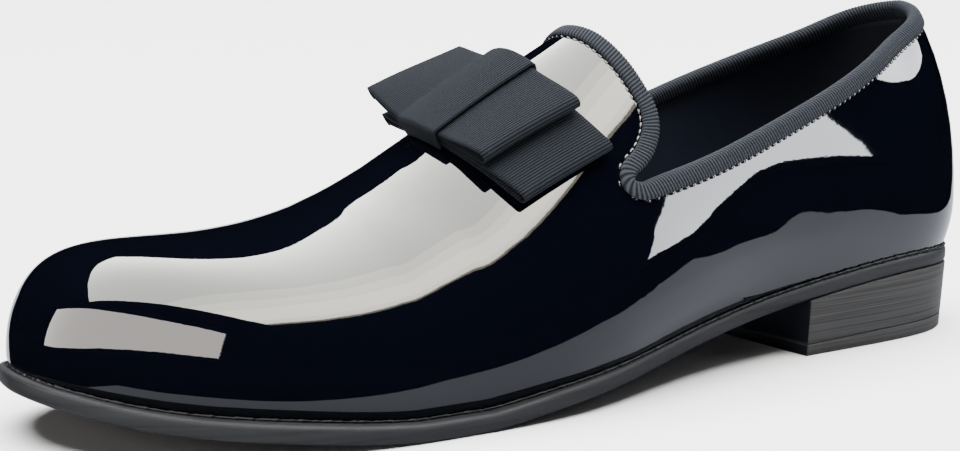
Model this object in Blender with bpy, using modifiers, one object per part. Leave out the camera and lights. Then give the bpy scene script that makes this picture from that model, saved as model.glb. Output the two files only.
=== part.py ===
"""Left opera pump: a patent leather slipper with a flat ribbon bow and a low stacked heel.

The toe points to -Y, +X is the wearer's left, +Z is up, and the origin is on the floor in the
middle of the shoe. Driving dimensions are in millimetres, and MM turns them into metres.
"""

from collections import namedtuple

import bmesh
import bpy
import numpy as np

MM = 0.001

# Walls and clearances.
WALL = 1.8
GAP = 0.3
SOLE_THICKNESS = 5.0
SOLE_EDGE_ROUND = 1.3
INSOLE_THICKNESS = 2.2
INSOLE_CLEARANCE = 0.9
INSOLE_EDGE_ROUND = 0.5

# Heel block.
HEEL_LENGTH = 75.5
HEEL_TAPER = 1.2
HEEL_EDGE_ROUND = 0.4

# Grosgrain binding folded over the collar edge.
TAPE = 0.6
TAPE_LEG = 3.2
TAPE_CLEARANCE = 0.55

# Flat bow on the vamp.
RIBBON = 0.7
RIBBON_WIDTH = 32.0
BOW_MIDDLE = 175.5
BOW_SHIFT = 1.0
BOW_TURN = 0.13
BOW_SWEEP = 0.0083
LOOP_OPENING = 2.6
LOOP_PINCH = 0.4
BAND_WIDTH = 19.5
BOW_CLEARANCE = 0.5

# Ribbon loops. outer, inner: reach from the bow's middle to the fold on either side.
# lift: how far the stiff inner side rises off what lies under it, at its fold.
Loop = namedtuple("Loop", "name outer inner lift")
LOWER_LOOP = Loop("bow_lower_loop", 40.0, 31.0, 10.0)
UPPER_LOOP = Loop("bow_upper_loop", 27.0, 24.5, 7.0)

# The middle of the finished shoe, seen from above, in the sections' own distances.
MIDDLE_S = 149.6
MIDDLE_X = 2.4

# Sections of the last and sole, from the back of the heel to the tip of the toe.
# s: distance from the heel's back. outer, inner: the widest line on either side.
# crown: top of the closed section above the feather edge. bulge: height of the widest line.
# tuck: how far the wall comes in from there to the feather edge. welt: how far the sole stands out.
# square: how boxy the arch is. lean: how far the crown is moved towards the outer side.
Section = namedtuple("Section", "s outer inner crown bulge tuck welt square lean")
SECTIONS = (
    Section(-1.8, 0.0, 0.0, 93.0, 16.0, 4.0, 1.0, 0.0, 0.0),
    Section(2.2, 16.0, -16.5, 88.5, 14.5, 3.0, 1.0, 0.0, 0.0),
    Section(14.0, 26.5, -27.0, 83.0, 15.5, 2.6, 0.9, 0.0, 0.0),
    Section(32.0, 32.0, -33.0, 76.5, 18.0, 3.2, 1.0, 0.0, 0.0),
    Section(60.0, 35.5, -35.5, 85.0, 20.0, 5.0, 1.0, 0.0, 0.0),
    Section(95.0, 39.5, -32.0, 95.0, 20.5, 7.2, 1.1, 0.01, -3.0),
    Section(130.0, 46.0, -26.5, 88.0, 19.0, 7.5, 1.4, -0.02, -4.0),
    Section(165.0, 51.0, -30.5, 73.8, 16.0, 4.7, 2.5, -0.015, -4.5),
    Section(195.0, 49.5, -39.5, 58.0, 13.0, 3.2, 3.8, 0.005, -3.0),
    Section(222.0, 47.5, -44.0, 45.5, 11.0, 2.4, 4.1, 0.01, -1.5),
    Section(248.0, 42.0, -43.5, 39.0, 10.0, 2.2, 4.2, 0.02, 0.0),
    Section(270.0, 31.5, -38.5, 36.3, 9.0, 2.1, 3.9, 0.035, 0.0),
    Section(286.5, 20.0, -31.5, 29.0, 6.5, 1.5, 3.3, 0.035, 0.0),
    Section(295.8, 8.0, -20.5, 14.5, 2.8, 0.7, 2.7, 0.03, 0.0),
    Section(298.3, -6.0, -6.0, 0.0, 0.0, 0.0, 2.6, 0.03, 0.0),
)
TIP = len(SECTIONS) - 1

# Underside of the sole: height above the floor along the shoe. It is pressed flat where it dips
# below the floor, under the ball of the foot.
SOLE_S = (0, 30, 62, 90, 120, 150, 180, 200, 216, 250, 275, 301)
SOLE_Z = (19.8, 20.6, 18.2, 14.8, 10.3, 5.9, 2.3, -0.2, -0.1, 3.2, 6.2, 13.0)

# Top line of the quarters: height above the floor along the shoe, up to the corner of the dip.
TOPLINE_S = (4, 30, 60, 90, 120, 148)
TOPLINE_Z = (101.0, 90.2, 79.0, 69.6, 61.3, 56.0)
DIP_ROUND = 4.6

# Free edge of the tongue from the corner of the dip to the crown: distance from the heel's back,
# and turn up the section (0 at the widest line, 1 at the crown).
TONGUE_EDGE = (
    (150.4, 0.338),
    (148.9, 0.361),
    (145.3, 0.373),
    (141.6, 0.396),
    (138.8, 0.432),
    (137.6, 0.484),
    (138.2, 0.550),
    (139.4, 0.640),
    (141.0, 0.750),
    (142.5, 0.870),
    (143.5, 1.000),
)

# Steps along the collar: tongue from dip to crown, quarter from dip to heel, corner of the dip.
TONGUE_STEPS = 12
QUARTER_STEPS = 24
CORNER_STEPS = 4

# The heel's sections fan out from this distance, and the change to square sections is this soft.
FAN = 36.0
FAN_SOFTNESS = 12.0


def spline(values, knots=None, flat_ends=False):
    """Cubic spline through values, with natural or flat ends, as a function."""
    y = np.asarray(values, float)
    x = np.arange(len(y), dtype=float) if knots is None else np.asarray(knots, float)
    last = len(x) - 1
    step = np.diff(x)
    slope = np.diff(y) / step
    system = np.eye(len(x))
    right = np.zeros(len(x))
    for i in range(1, last):
        system[i, i - 1 : i + 2] = step[i - 1], 2 * (step[i - 1] + step[i]), step[i]
        right[i] = 6 * (slope[i] - slope[i - 1])
    if flat_ends:
        system[0, :2] = 2 * step[0], step[0]
        right[0] = 6 * slope[0]
        system[last, last - 1 :] = step[-1], 2 * step[-1]
        right[last] = -6 * slope[-1]
    bend = np.linalg.solve(system, right)

    def value(at):
        at = np.asarray(at, float)
        i = np.clip(np.searchsorted(x, at) - 1, 0, last - 1)
        back = x[i + 1] - at
        fore = at - x[i]
        straight = y[i] / step[i] * back + y[i + 1] / step[i] * fore
        curve = bend[i] * (back**3 / step[i] - step[i] * back)
        curve = curve + bend[i + 1] * (fore**3 / step[i] - step[i] * fore)
        return straight + curve / 6

    return value


COLUMN = {
    name: spline([getattr(row, name) for row in SECTIONS], flat_ends=(name == "s"))
    for name in Section._fields
}
SOLE_UNDERSIDE = spline(SOLE_Z, SOLE_S)
TOPLINE = spline(TOPLINE_Z, TOPLINE_S)
FINE_ROWS = np.linspace(0, TIP, 1401)
FINE_S = np.maximum.accumulate(COLUMN["s"](FINE_ROWS))


def row_at(s):
    """Row of the section table at a distance from the heel's back."""
    return np.interp(s, FINE_S, FINE_ROWS)


def underside(s):
    """Height of the sole's underside."""
    return np.maximum(SOLE_UNDERSIDE(np.clip(s, SOLE_S[0], SOLE_S[-1])), 0.0)


def side_line(k, side):
    """Sideways place of the widest line at row k: outer side for side > 0."""
    return np.where(side > 0, COLUMN["outer"](k), COLUMN["inner"](k))


def outline(k, side, offset):
    """Plan point (s, x) of the widest line at row k, moved outwards by offset."""
    nudge = 1e-3
    low = np.clip(k - nudge, 0, TIP)
    high = np.clip(k + nudge, 0, TIP)
    ds = COLUMN["s"](high) - COLUMN["s"](low)
    dx = side_line(high, side) - side_line(low, side)
    length = np.hypot(ds, dx)
    s = COLUMN["s"](k) - dx / length * side * offset
    x = side_line(k, side) + ds / length * side * offset
    return s, x


def shell_point(k, turn, side):
    """Point (s, x, z) of the upper's outer face.

    turn runs from -1 at the feather edge by 0 at the widest line to 1 at the crown. Past the
    crown, and past the back of the heel, the point carries on down the other side.
    """
    k, turn, side = np.broadcast_arrays(np.asarray(k, float), turn, np.asarray(side, float))
    side = np.where(turn > 1, -side, side)
    turn = np.where(turn > 1, 2 - turn, turn)
    side = np.where(k < 0, -side, side)
    k = np.abs(k)
    tuck = COLUMN["tuck"](k)
    wide_s, wide_x = outline(k, side, 0.0)
    foot_s, foot_x = outline(k, side, -tuck)
    centre_s = FAN + FAN_SOFTNESS * np.logaddexp(0, (COLUMN["s"](k) - FAN) / FAN_SOFTNESS)
    centre_x = (COLUMN["outer"](k) + COLUMN["inner"](k)) / 2
    feather_z = underside(COLUMN["s"](k)) + SOLE_THICKNESS + GAP
    bulge = COLUMN["bulge"](k)
    arch = COLUMN["crown"](k) - bulge
    square = COLUMN["square"](k)
    angle = np.clip(turn, 0, 1) * np.pi / 2
    out = (np.cos(angle) - square * np.cos(3 * angle)) / (1 - square)
    up = (np.sin(angle) + square * np.sin(3 * angle)) / (1 - square)
    down = np.clip(-turn, 0, 1)
    above = turn >= 0
    s = np.where(above, centre_s + (wide_s - centre_s) * out, wide_s + (foot_s - wide_s) * down**2)
    x = np.where(
        above,
        centre_x + (wide_x - centre_x) * out + COLUMN["lean"](k) * up**2,
        wide_x + (foot_x - wide_x) * down**2,
    )
    z = np.where(above, feather_z + bulge + arch * up, feather_z + bulge * (1 - down))
    return np.stack([s, x, z], -1)


def turn_at_height(k, side, height):
    """Turn at which the shell reaches a height, by bisection; height is a function of s."""
    low = np.zeros_like(k)
    high = np.ones_like(k)
    for _ in range(30):
        middle = (low + high) / 2
        point = shell_point(k, middle, side)
        below = point[..., 2] < height(point[..., 0])
        low = np.where(below, middle, low)
        high = np.where(below, high, middle)
    return (low + high) / 2


def placed(points):
    """World coordinates in metres of (s, x, z) points in millimetres."""
    points = np.asarray(points, float)
    world = np.stack(
        [points[..., 1] - MIDDLE_X, MIDDLE_S - points[..., 0], points[..., 2]], -1
    )
    return world * MM


def collar_height(s):
    """Height of the quarters' top line, rising round the corner of the dip."""
    corner = TONGUE_EDGE[0][0] - DIP_ROUND
    past = np.clip(s - corner, 0, DIP_ROUND)
    return TOPLINE(np.clip(s, 0, corner)) + DIP_ROUND - np.sqrt(DIP_ROUND**2 - past**2)


def material(name, colour, roughness, coat=0.0):
    """Principled material with one plain colour."""
    made = bpy.data.materials.new(name)
    made.use_nodes = True
    surface = made.node_tree.nodes["Principled BSDF"]
    surface.inputs["Base Color"].default_value = (*colour, 1.0)
    surface.inputs["Roughness"].default_value = roughness
    surface.inputs["Metallic"].default_value = 0.0
    surface.inputs["Coat Weight"].default_value = coat
    made.diffuse_color = (*colour, 1.0)
    return made


def grid_patch(bm, points):
    """Add a grid whose vertices are placed at points, an array of rows x columns x 3."""
    rows, columns = points.shape[:2]
    made = bmesh.ops.create_grid(bm, x_segments=columns - 1, y_segments=rows - 1, size=1.0)
    for index, vert in enumerate(made["verts"]):
        vert.co = points[index // columns, index % columns]


def node(name, bm, surface, home):
    """Turn a bmesh into a named, smooth-shaded object of its own."""
    mesh = bpy.data.meshes.new(name)
    bm.to_mesh(mesh)
    bm.free()
    mesh.materials.append(surface)
    made = bpy.data.objects.new(name, mesh)
    home.objects.link(made)
    mesh.shade_smooth()
    return made


def weld(bm, distance=0.00005):
    """Join the patches at their shared edges, drop collapsed faces and face them outwards."""
    bmesh.ops.remove_doubles(bm, verts=bm.verts, dist=distance)
    bmesh.ops.dissolve_degenerate(bm, edges=bm.edges, dist=distance / 5)
    bmesh.ops.recalc_face_normals(bm, faces=bm.faces)


def thicken(obj, thickness):
    """Give an open surface a wall on its inner side."""
    wall = obj.modifiers.new("wall", "SOLIDIFY")
    wall.thickness = thickness * MM
    wall.offset = -1.0
    wall.use_even_offset = True
    wall.use_quality_normals = True


def tongue_columns():
    """Rows and turns of the tongue's free edge, from the corner of the dip to the crown."""
    place = np.linspace(0, len(TONGUE_EDGE) - 1, TONGUE_STEPS + 1)
    along = spline([row[0] for row in TONGUE_EDGE], flat_ends=True)(place)
    turn = spline([row[1] for row in TONGUE_EDGE])(place)
    return row_at(along), turn


def quarter_rows():
    """Rows of the quarters from the corner of the dip to the back of the heel."""
    corner = TONGUE_EDGE[0][0] - DIP_ROUND
    bend = np.linspace(0, 1, CORNER_STEPS + 1) ** 0.75 * np.pi / 2
    rounded = row_at(corner + DIP_ROUND * np.cos(bend))
    straight = np.linspace(rounded[-1], 0, QUARTER_STEPS + 1)
    return np.concatenate([rounded, straight[1:]])


def collar_edge():
    """The whole collar as (row, turn, side): outer quarter, inner quarter, then the tongue."""
    k = quarter_rows()
    edge_k, edge_turn = tongue_columns()
    quarter_turn = turn_at_height(k, 1.0, collar_height)
    quarter_turn[0] = edge_turn[0]
    outer = np.stack([k, quarter_turn, np.ones_like(k)], -1)
    inner = outer[::-1][1:] * (1, 1, -1)
    tongue_outer = np.stack([edge_k, edge_turn, np.ones_like(edge_k)], -1)
    tongue_inner = tongue_outer[1:-1] * (1, 1, -1)
    return np.concatenate([outer, inner, tongue_inner, tongue_outer[::-1][:-1]])


def build_upper(home, surface):
    """Vamp, tongue and quarters as one hollow shell, open at the collar and underneath."""
    low_steps, vamp_steps, tongue_steps = 7, 16, 4
    edge_k, edge_turn = tongue_columns()
    bm = bmesh.new()

    # Vamp: arches from the corner of the dip to the tip, the columns evening out on the way.
    k = edge_k[0] + (TIP - edge_k[0]) * np.linspace(0, 1, vamp_steps + 1)
    start = np.concatenate([np.linspace(-1, edge_turn[0], low_steps + 1), edge_turn[1:]])
    even = np.linspace(-1, 1, len(start))
    blend = np.clip((k - k[0]) / 3.0, 0, 1)[:, None]
    blend = blend * blend * (3 - 2 * blend)
    turn = start + (even - start) * blend
    for side in (1.0, -1.0):
        grid_patch(bm, placed(shell_point(k[:, None], turn, side)))

    # Tongue: from the same row back to its free edge.
    back = np.linspace(0, 1, tongue_steps + 1)[:, None]
    tongue_k = edge_k[0] + (edge_k - edge_k[0]) * back
    for side in (1.0, -1.0):
        grid_patch(bm, placed(shell_point(tongue_k, edge_turn, side)))

    # Quarters: a strip from the feather edge to the top line, on both sides of the heel's back.
    k = quarter_rows()
    top = turn_at_height(k, 1.0, collar_height)
    top[0] = edge_turn[0]
    turn = -1 + (top[:, None] + 1) * np.linspace(0, 1, low_steps + 1)
    for side in (1.0, -1.0):
        grid_patch(bm, placed(shell_point(k[:, None], turn, side)))

    weld(bm)
    upper = node("upper", bm, surface, home)
    thicken(upper, WALL)
    return upper


def plate(rim_bottom, rim_top, thickness, edge_round, cut_every):
    """Flat plate between two plan outlines of (s, x), its edges rounded, cut across in strips."""
    bm = bmesh.new()
    number = bm.verts.layers.int.new("outline_point")
    made = bmesh.ops.create_circle(bm, cap_ends=True, segments=len(rim_bottom), radius=1.0)
    for index, vert in enumerate(made["verts"]):
        vert[number] = index
        vert.co = (rim_bottom[index][1], -rim_bottom[index][0], 0.0)
    raised = bmesh.ops.extrude_face_region(bm, geom=bm.faces[:])
    for item in raised["geom"]:
        if isinstance(item, bmesh.types.BMVert):
            s, x = rim_top[item[number]]
            item.co = (x, -s, thickness)
    bmesh.ops.recalc_face_normals(bm, faces=bm.faces)
    sharp = [edge for edge in bm.edges if edge.calc_face_angle(0.0) > 0.8]
    bmesh.ops.bevel(
        bm, geom=sharp, offset=edge_round, segments=2, profile=0.5, affect="EDGES", material=-1
    )
    for s in np.arange(cut_every, SECTIONS[-1].s, cut_every):
        everything = bm.verts[:] + bm.edges[:] + bm.faces[:]
        bmesh.ops.bisect_plane(bm, geom=everything, plane_co=(0, -s, 0), plane_no=(0, 1, 0))
    return bm


def bend_plate(bm, thickness, bottom, top):
    """Bring a flat plate's two faces to their heights, and the plate to its place."""
    for vert in bm.verts:
        s = -vert.co.y
        z = vert.co.z
        height = bottom(s) + z if z < thickness / 2 else top(s) - (thickness - z)
        vert.co = placed((s, vert.co.x, height))


def plan_outline(rows, offset):
    """Closed plan outline of (s, x), down the outer side and back up the inner one."""
    outer = np.stack(outline(rows, 1.0, offset), -1)
    inner = np.stack(outline(rows, -1.0, offset), -1)
    return np.concatenate([outer[::-1], inner[1:-1] if rows[-1] == TIP else inner[1:]])


def sole_edge(rows):
    """How far the sole's edge lies outside the widest line."""
    return COLUMN["welt"](rows) - COLUMN["tuck"](rows)


def sole_top(s):
    """Height of the sole's upper face."""
    return underside(s) + SOLE_THICKNESS


def insole_bottom(s):
    """Height of the insole's lower face."""
    return sole_top(s) + GAP


def insole_top(s):
    """Height of the insole's upper face."""
    return insole_bottom(s) + INSOLE_THICKNESS


def floor_level(s):
    """Height of the heel's tread, which stands on the floor."""
    return 0.0 * s


def heel_seat(s):
    """Height of the heel block's upper face, under the sole."""
    return underside(s) - GAP


def build_outsole(home, surface):
    """Leather sole on its own outline, with the arch and toe spring of its underside."""
    rows = np.linspace(0, TIP, 47)
    rim = plan_outline(rows, sole_edge(rows))
    bm = plate(rim, rim, SOLE_THICKNESS, SOLE_EDGE_ROUND, 10.0)
    bend_plate(bm, SOLE_THICKNESS, underside, sole_top)
    return node("outsole", bm, surface, home)


def build_insole(home, surface):
    """Insole inside the shell, clear of its wall."""
    rows = np.linspace(0, TIP, 31)
    rim = plan_outline(rows, -COLUMN["tuck"](rows) - WALL - INSOLE_CLEARANCE)
    bm = plate(rim, rim, INSOLE_THICKNESS, INSOLE_EDGE_ROUND, 15.0)
    bend_plate(bm, INSOLE_THICKNESS, insole_bottom, insole_top)
    return node("insole", bm, surface, home)


def build_heel(home, surface):
    """Stacked heel block under the seat, slightly tapered, with a straight breast."""
    rows = np.linspace(0, row_at(HEEL_LENGTH), 19)
    seat = plan_outline(rows, sole_edge(rows))
    tread = plan_outline(rows, sole_edge(rows) - HEEL_TAPER)
    for rim in (seat, tread):
        rim[[0, -1], 0] = HEEL_LENGTH
    height = float(underside(0.0))
    bm = plate(tread, seat, height, HEEL_EDGE_ROUND, 12.5)
    bend_plate(bm, height, floor_level, heel_seat)
    return node("heel", bm, surface, home)


def shell_frames(k, turn, side):
    """Outer face's two surface directions per unit of k and turn, and its outward normal."""
    nudge = 1e-3
    along = shell_point(k + nudge, turn, side) - shell_point(k - nudge, turn, side)
    across = shell_point(k, turn + nudge, side) - shell_point(k, turn - nudge, side)
    normal = np.cross(along, across)
    normal = normal / np.linalg.norm(normal, axis=-1, keepdims=True)
    centre = np.stack([COLUMN["s"](np.abs(k)) + 0 * turn, 0 * turn, 20 + 0 * turn], -1)
    centre[..., 0] = np.clip(centre[..., 0], FAN, None)
    inward = np.sum(normal * (centre - shell_point(k, turn, side)), -1) > 0
    normal = np.where(inward[..., None], -normal, normal)
    return along / (2 * nudge), across / (2 * nudge), normal


def tape_profile():
    """Closed section of the folded tape as (distance into the shell, height over its face)."""
    centre = -WALL / 2
    inner = WALL / 2 + TAPE_CLEARANCE
    outer = inner + TAPE
    fold = np.radians((90, 45, 0, -45, -90))
    outside = [(-outer * np.cos(a), centre + outer * np.sin(a)) for a in fold]
    inside = [(-inner * np.cos(a), centre + inner * np.sin(a)) for a in fold[::-1]]
    lower = [(TAPE_LEG, centre - outer), (TAPE_LEG, centre - inner)]
    upper = [(TAPE_LEG, centre + inner), (TAPE_LEG, centre + outer)]
    return np.array(outside + lower + inside + upper)


def sweep_tape(path, profile):
    """Points of the tape's section carried round the collar, rows x columns x 3."""
    k, turn, side = path.T
    along, across, normal = shell_frames(k, turn, side)
    rim = shell_point(k, turn, side)
    tangent = np.roll(rim, -1, 0) - np.roll(rim, 1, 0)
    tangent = tangent / np.linalg.norm(tangent, axis=-1, keepdims=True)
    inward = np.cross(tangent, normal)
    if inward[3, 2] > 0:
        inward = -inward
    rows = []
    for i in range(len(path)):
        basis = np.stack([along[i], across[i]], -1)
        step = np.linalg.lstsq(basis, inward[i], rcond=None)[0]
        points = []
        for depth, height in profile:
            sunk = max(depth, 0.0)
            foot = shell_point(k[i] + step[0] * sunk, turn[i] + step[1] * sunk, side[i])
            points.append(foot + inward[i] * min(depth, 0.0) + normal[i] * height)
        rows.append(points)
    return np.array(rows)


def closed_loop_grid(bm, points):
    """Grid whose rows and columns both close on themselves."""
    points = np.concatenate([points, points[:1]])
    points = np.concatenate([points, points[:, :1]], 1)
    grid_patch(bm, points)


def build_binding(home, surface):
    """Grosgrain tape folded over the whole collar edge."""
    bm = bmesh.new()
    closed_loop_grid(bm, placed(sweep_tape(collar_edge(), tape_profile())))
    weld(bm)
    return node("collar_binding", bm, surface, home)


RIDGE_ROWS = np.linspace(row_at(140.0), row_at(222.0), 160)
RIDGE = shell_point(RIDGE_ROWS, 1.0, 1.0)
RIDGE_LENGTH = np.concatenate([[0], np.cumsum(np.linalg.norm(np.diff(RIDGE, axis=0), axis=1))])
RIDGE_LENGTH = RIDGE_LENGTH - np.interp(BOW_MIDDLE, RIDGE[:, 0], RIDGE_LENGTH)
TURNS_DOWN = np.linspace(1, 0, 60)


def drape(across, along, height):
    """Point over the vamp: across and along from the bow's middle, and height off the vamp."""
    swept = along + BOW_TURN * across - BOW_SWEEP * across**2
    k = float(np.interp(swept, RIDGE_LENGTH, RIDGE_ROWS))
    place = across + BOW_SHIFT
    side = 1.0 if place >= 0 else -1.0
    arch = shell_point(k, TURNS_DOWN, side)
    length = np.concatenate([[0], np.cumsum(np.linalg.norm(np.diff(arch, axis=0), axis=1))])
    turn = float(np.interp(abs(place), length, TURNS_DOWN))
    normal = shell_frames(np.array([k]), np.array([turn]), np.array([side]))[2][0]
    return shell_point(k, turn, side) + normal * height


def ease(t):
    """Smooth step from 0 to 1."""
    t = min(max(t, 0.0), 1.0)
    return t * t * (3 - 2 * t)


def free_length(across, loop):
    """Share of the way from the band's edge to the loop's fold, on either side."""
    reach = loop.outer if across > 0 else loop.inner
    return max(abs(across) - BAND_WIDTH / 2, 0.0) / (reach - BAND_WIDTH / 2)


def loop_gap(across, loop):
    """Distance between a loop's two layers, pinched under the band and open at the fold."""
    return RIBBON + LOOP_PINCH + (LOOP_OPENING - LOOP_PINCH) * ease(free_length(across, loop))


def stand_off(across, loop):
    """How far a loop's stiff inner side rises."""
    return loop.lift * free_length(across, loop) ** 2 if across < 0 else 0.0


def loop_base(across, loop):
    """Height of a loop's bottom layer; the upper loop lies on the lower one."""
    base = BOW_CLEARANCE + RIBBON / 2 + stand_off(across, LOWER_LOOP)
    if loop is UPPER_LOOP:
        base += loop_gap(across, LOWER_LOOP) + RIBBON + 2 * BOW_CLEARANCE + stand_off(across, loop)
    return base


def loop_path(loop, count=17, fold_count=4):
    """Closed path of (across, height) round a flattened loop."""
    radius = loop_gap(loop.outer, loop) / 2
    outer_end = loop.outer - radius
    inner_end = radius - loop.inner
    layer = np.linspace(inner_end, outer_end, count)
    path = [(u, loop_base(u, loop)) for u in layer]
    fold = np.linspace(0, np.pi, fold_count + 2)[1:-1]
    rise = loop_base(outer_end, loop) + radius
    path += [(outer_end + radius * np.sin(a), rise - radius * np.cos(a)) for a in fold]
    path += [(u, loop_base(u, loop) + loop_gap(u, loop)) for u in layer[::-1]]
    rise = loop_base(inner_end, loop) + radius
    path += [(inner_end - radius * np.sin(a), rise + radius * np.cos(a)) for a in fold]
    return path


def build_loop(loop, home, surface):
    """One flattened ribbon loop over the vamp."""
    bm = bmesh.new()
    path = loop_path(loop)
    stations = np.linspace(-RIBBON_WIDTH / 2, RIBBON_WIDTH / 2, 6)
    points = [[drape(u, v, h) for v in stations] for u, h in path + path[:1]]
    grid_patch(bm, placed(points))
    weld(bm)
    ribbon = node(loop.name, bm, surface, home)
    thicken(ribbon, RIBBON)
    ribbon.modifiers["wall"].offset = 0.0
    return ribbon


def build_band(home, surface):
    """Centre band over both loops, its two ends turned down beside them."""
    top = loop_base(0, UPPER_LOOP) + loop_gap(0, UPPER_LOOP) + RIBBON + BOW_CLEARANCE
    edge = RIBBON_WIDTH / 2 + BOW_CLEARANCE + RIBBON / 2
    corner = 1.0
    path = [(-edge, BOW_CLEARANCE), (-edge, top / 2)]
    for a in np.radians((0, 30, 60, 90)):
        path.append((-edge + corner * (1 - np.cos(a)), top - corner * (1 - np.sin(a))))
    path = path + [(v, top) for v in np.linspace(-edge / 2, 0, 3)]
    path = path + [(-v, h) for v, h in path[-2::-1]]
    bm = bmesh.new()
    stations = np.linspace(-BAND_WIDTH / 2, BAND_WIDTH / 2, 7)
    grid_patch(bm, placed([[drape(u, v, h) for u in stations] for v, h in path]))
    bmesh.ops.recalc_face_normals(bm, faces=bm.faces)
    band = node("bow_band", bm, surface, home)
    thicken(band, RIBBON)
    band.modifiers["wall"].offset = 0.0
    return band


def build():
    """Make every piece of the shoe."""
    for obj in list(bpy.data.objects):
        bpy.data.objects.remove(obj, do_unlink=True)
    home = bpy.data.collections.new("opera_pump")
    bpy.context.scene.collection.children.link(home)
    patent = material("patent_leather", (0.004, 0.005, 0.009), 0.08, 1.0)
    sole_leather = material("sole_leather", (0.035, 0.036, 0.038), 0.5)
    heel_leather = material("heel_leather", (0.05, 0.052, 0.056), 0.45)
    lining = material("lining_leather", (0.012, 0.014, 0.02), 0.5)
    grosgrain = material("grosgrain", (0.06, 0.065, 0.075), 0.6)
    build_upper(home, patent)
    build_outsole(home, sole_leather)
    build_heel(home, heel_leather)
    build_insole(home, lining)
    build_binding(home, grosgrain)
    build_loop(LOWER_LOOP, home, grosgrain)
    build_loop(UPPER_LOOP, home, grosgrain)
    build_band(home, grosgrain)


build()
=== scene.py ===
"""Dresses the left opera pump: patent leather, linings, ribbed ribbon, sole edge and stacked heel.

The toe points to -Y, +X is the wearer's left and +Z is up. Shapes are worked out in millimetres
as (s, x, z), s being the distance from the back of the heel, and placed in metres.
"""

import logging
import math
from dataclasses import dataclass
from enum import Enum
from typing import Callable, NamedTuple

import bmesh
import bpy
import numpy as np
from bmesh.types import BMesh, BMVert
from bpy.types import ID, Material, Node, NodeOutputs, NodeSocket, Object
from mathutils import Matrix, Vector


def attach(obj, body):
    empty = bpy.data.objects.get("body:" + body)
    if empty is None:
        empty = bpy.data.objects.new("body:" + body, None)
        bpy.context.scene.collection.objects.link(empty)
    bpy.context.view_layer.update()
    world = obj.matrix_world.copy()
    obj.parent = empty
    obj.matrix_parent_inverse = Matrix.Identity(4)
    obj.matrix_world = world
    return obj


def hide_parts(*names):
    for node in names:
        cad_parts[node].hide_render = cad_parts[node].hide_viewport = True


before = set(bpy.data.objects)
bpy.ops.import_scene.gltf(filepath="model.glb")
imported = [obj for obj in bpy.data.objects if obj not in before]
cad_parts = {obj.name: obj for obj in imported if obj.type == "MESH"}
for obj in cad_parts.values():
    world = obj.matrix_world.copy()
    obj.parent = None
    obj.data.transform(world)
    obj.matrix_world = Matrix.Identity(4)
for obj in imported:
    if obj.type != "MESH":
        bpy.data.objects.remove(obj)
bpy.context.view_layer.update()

LOG = logging.getLogger("opera_pump")
MM = 0.001
UV_PER_MM = 0.01

# Distances in metres below which vertices are joined.
FINE_WELD = 0.00001
COARSE_WELD = 0.00002

# The middle of the shoe in its own distances, as in the frame.
MIDDLE_S = 149.6
MIDDLE_X = 2.4


class Section(NamedTuple):
    """One section of the last and sole, in millimetres.

    s is the distance from the heel's back, outer and inner are the widest line on either side,
    crown the top above the feather edge, bulge the height of the widest line, tuck how far the
    wall comes in below it, welt how far the sole stands out, square how boxy the arch is and
    lean how far the crown is moved towards the outer side.
    """

    s: float
    outer: float
    inner: float
    crown: float
    bulge: float
    tuck: float
    welt: float
    square: float
    lean: float


SECTIONS = (
    Section(-1.8, 0.0, 0.0, 93.0, 16.0, 4.0, 1.0, 0.0, 0.0),
    Section(2.2, 16.0, -16.5, 88.5, 14.5, 3.0, 1.0, 0.0, 0.0),
    Section(14.0, 26.5, -27.0, 83.0, 15.5, 2.6, 0.9, 0.0, 0.0),
    Section(32.0, 32.0, -33.0, 76.5, 18.0, 3.2, 1.0, 0.0, 0.0),
    Section(60.0, 35.5, -35.5, 85.0, 20.0, 5.0, 1.0, 0.0, 0.0),
    Section(95.0, 39.5, -32.0, 95.0, 20.5, 7.2, 1.1, 0.01, -3.0),
    Section(130.0, 46.0, -26.5, 88.0, 19.0, 7.5, 1.4, -0.02, -4.0),
    Section(165.0, 51.0, -30.5, 73.8, 16.0, 4.7, 2.5, -0.015, -4.5),
    Section(195.0, 49.5, -39.5, 58.0, 13.0, 3.2, 3.8, 0.005, -3.0),
    Section(222.0, 47.5, -44.0, 45.5, 11.0, 2.4, 4.1, 0.01, -1.5),
    Section(248.0, 42.0, -43.5, 39.0, 10.0, 2.2, 4.2, 0.02, 0.0),
    Section(270.0, 31.5, -38.5, 36.3, 9.0, 2.1, 3.9, 0.035, 0.0),
    Section(286.5, 20.0, -31.5, 29.0, 6.5, 1.5, 3.3, 0.035, 0.0),
    Section(295.8, 8.0, -20.5, 14.5, 2.8, 0.7, 2.7, 0.03, 0.0),
    Section(298.3, -6.0, -6.0, 0.0, 0.0, 0.0, 2.6, 0.03, 0.0),
)
TIP = len(SECTIONS) - 1


class Height(NamedTuple):
    """A height above the floor at a distance from the heel's back."""

    s: float
    z: float


UNDERSIDE = (
    Height(0, 19.8), Height(30, 20.6), Height(62, 18.2), Height(90, 14.8), Height(120, 10.3),
    Height(150, 5.9), Height(180, 2.3), Height(200, -0.2), Height(216, -0.1), Height(250, 3.2),
    Height(275, 6.2), Height(301, 13.0),
)
TOPLINE = (
    Height(4, 101.0), Height(30, 90.2), Height(60, 79.0), Height(90, 69.6), Height(120, 61.3),
    Height(148, 56.0),
)


class EdgePoint(NamedTuple):
    """A point of the tongue's free edge: distance from the heel's back and turn up the section."""

    s: float
    turn: float


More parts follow.
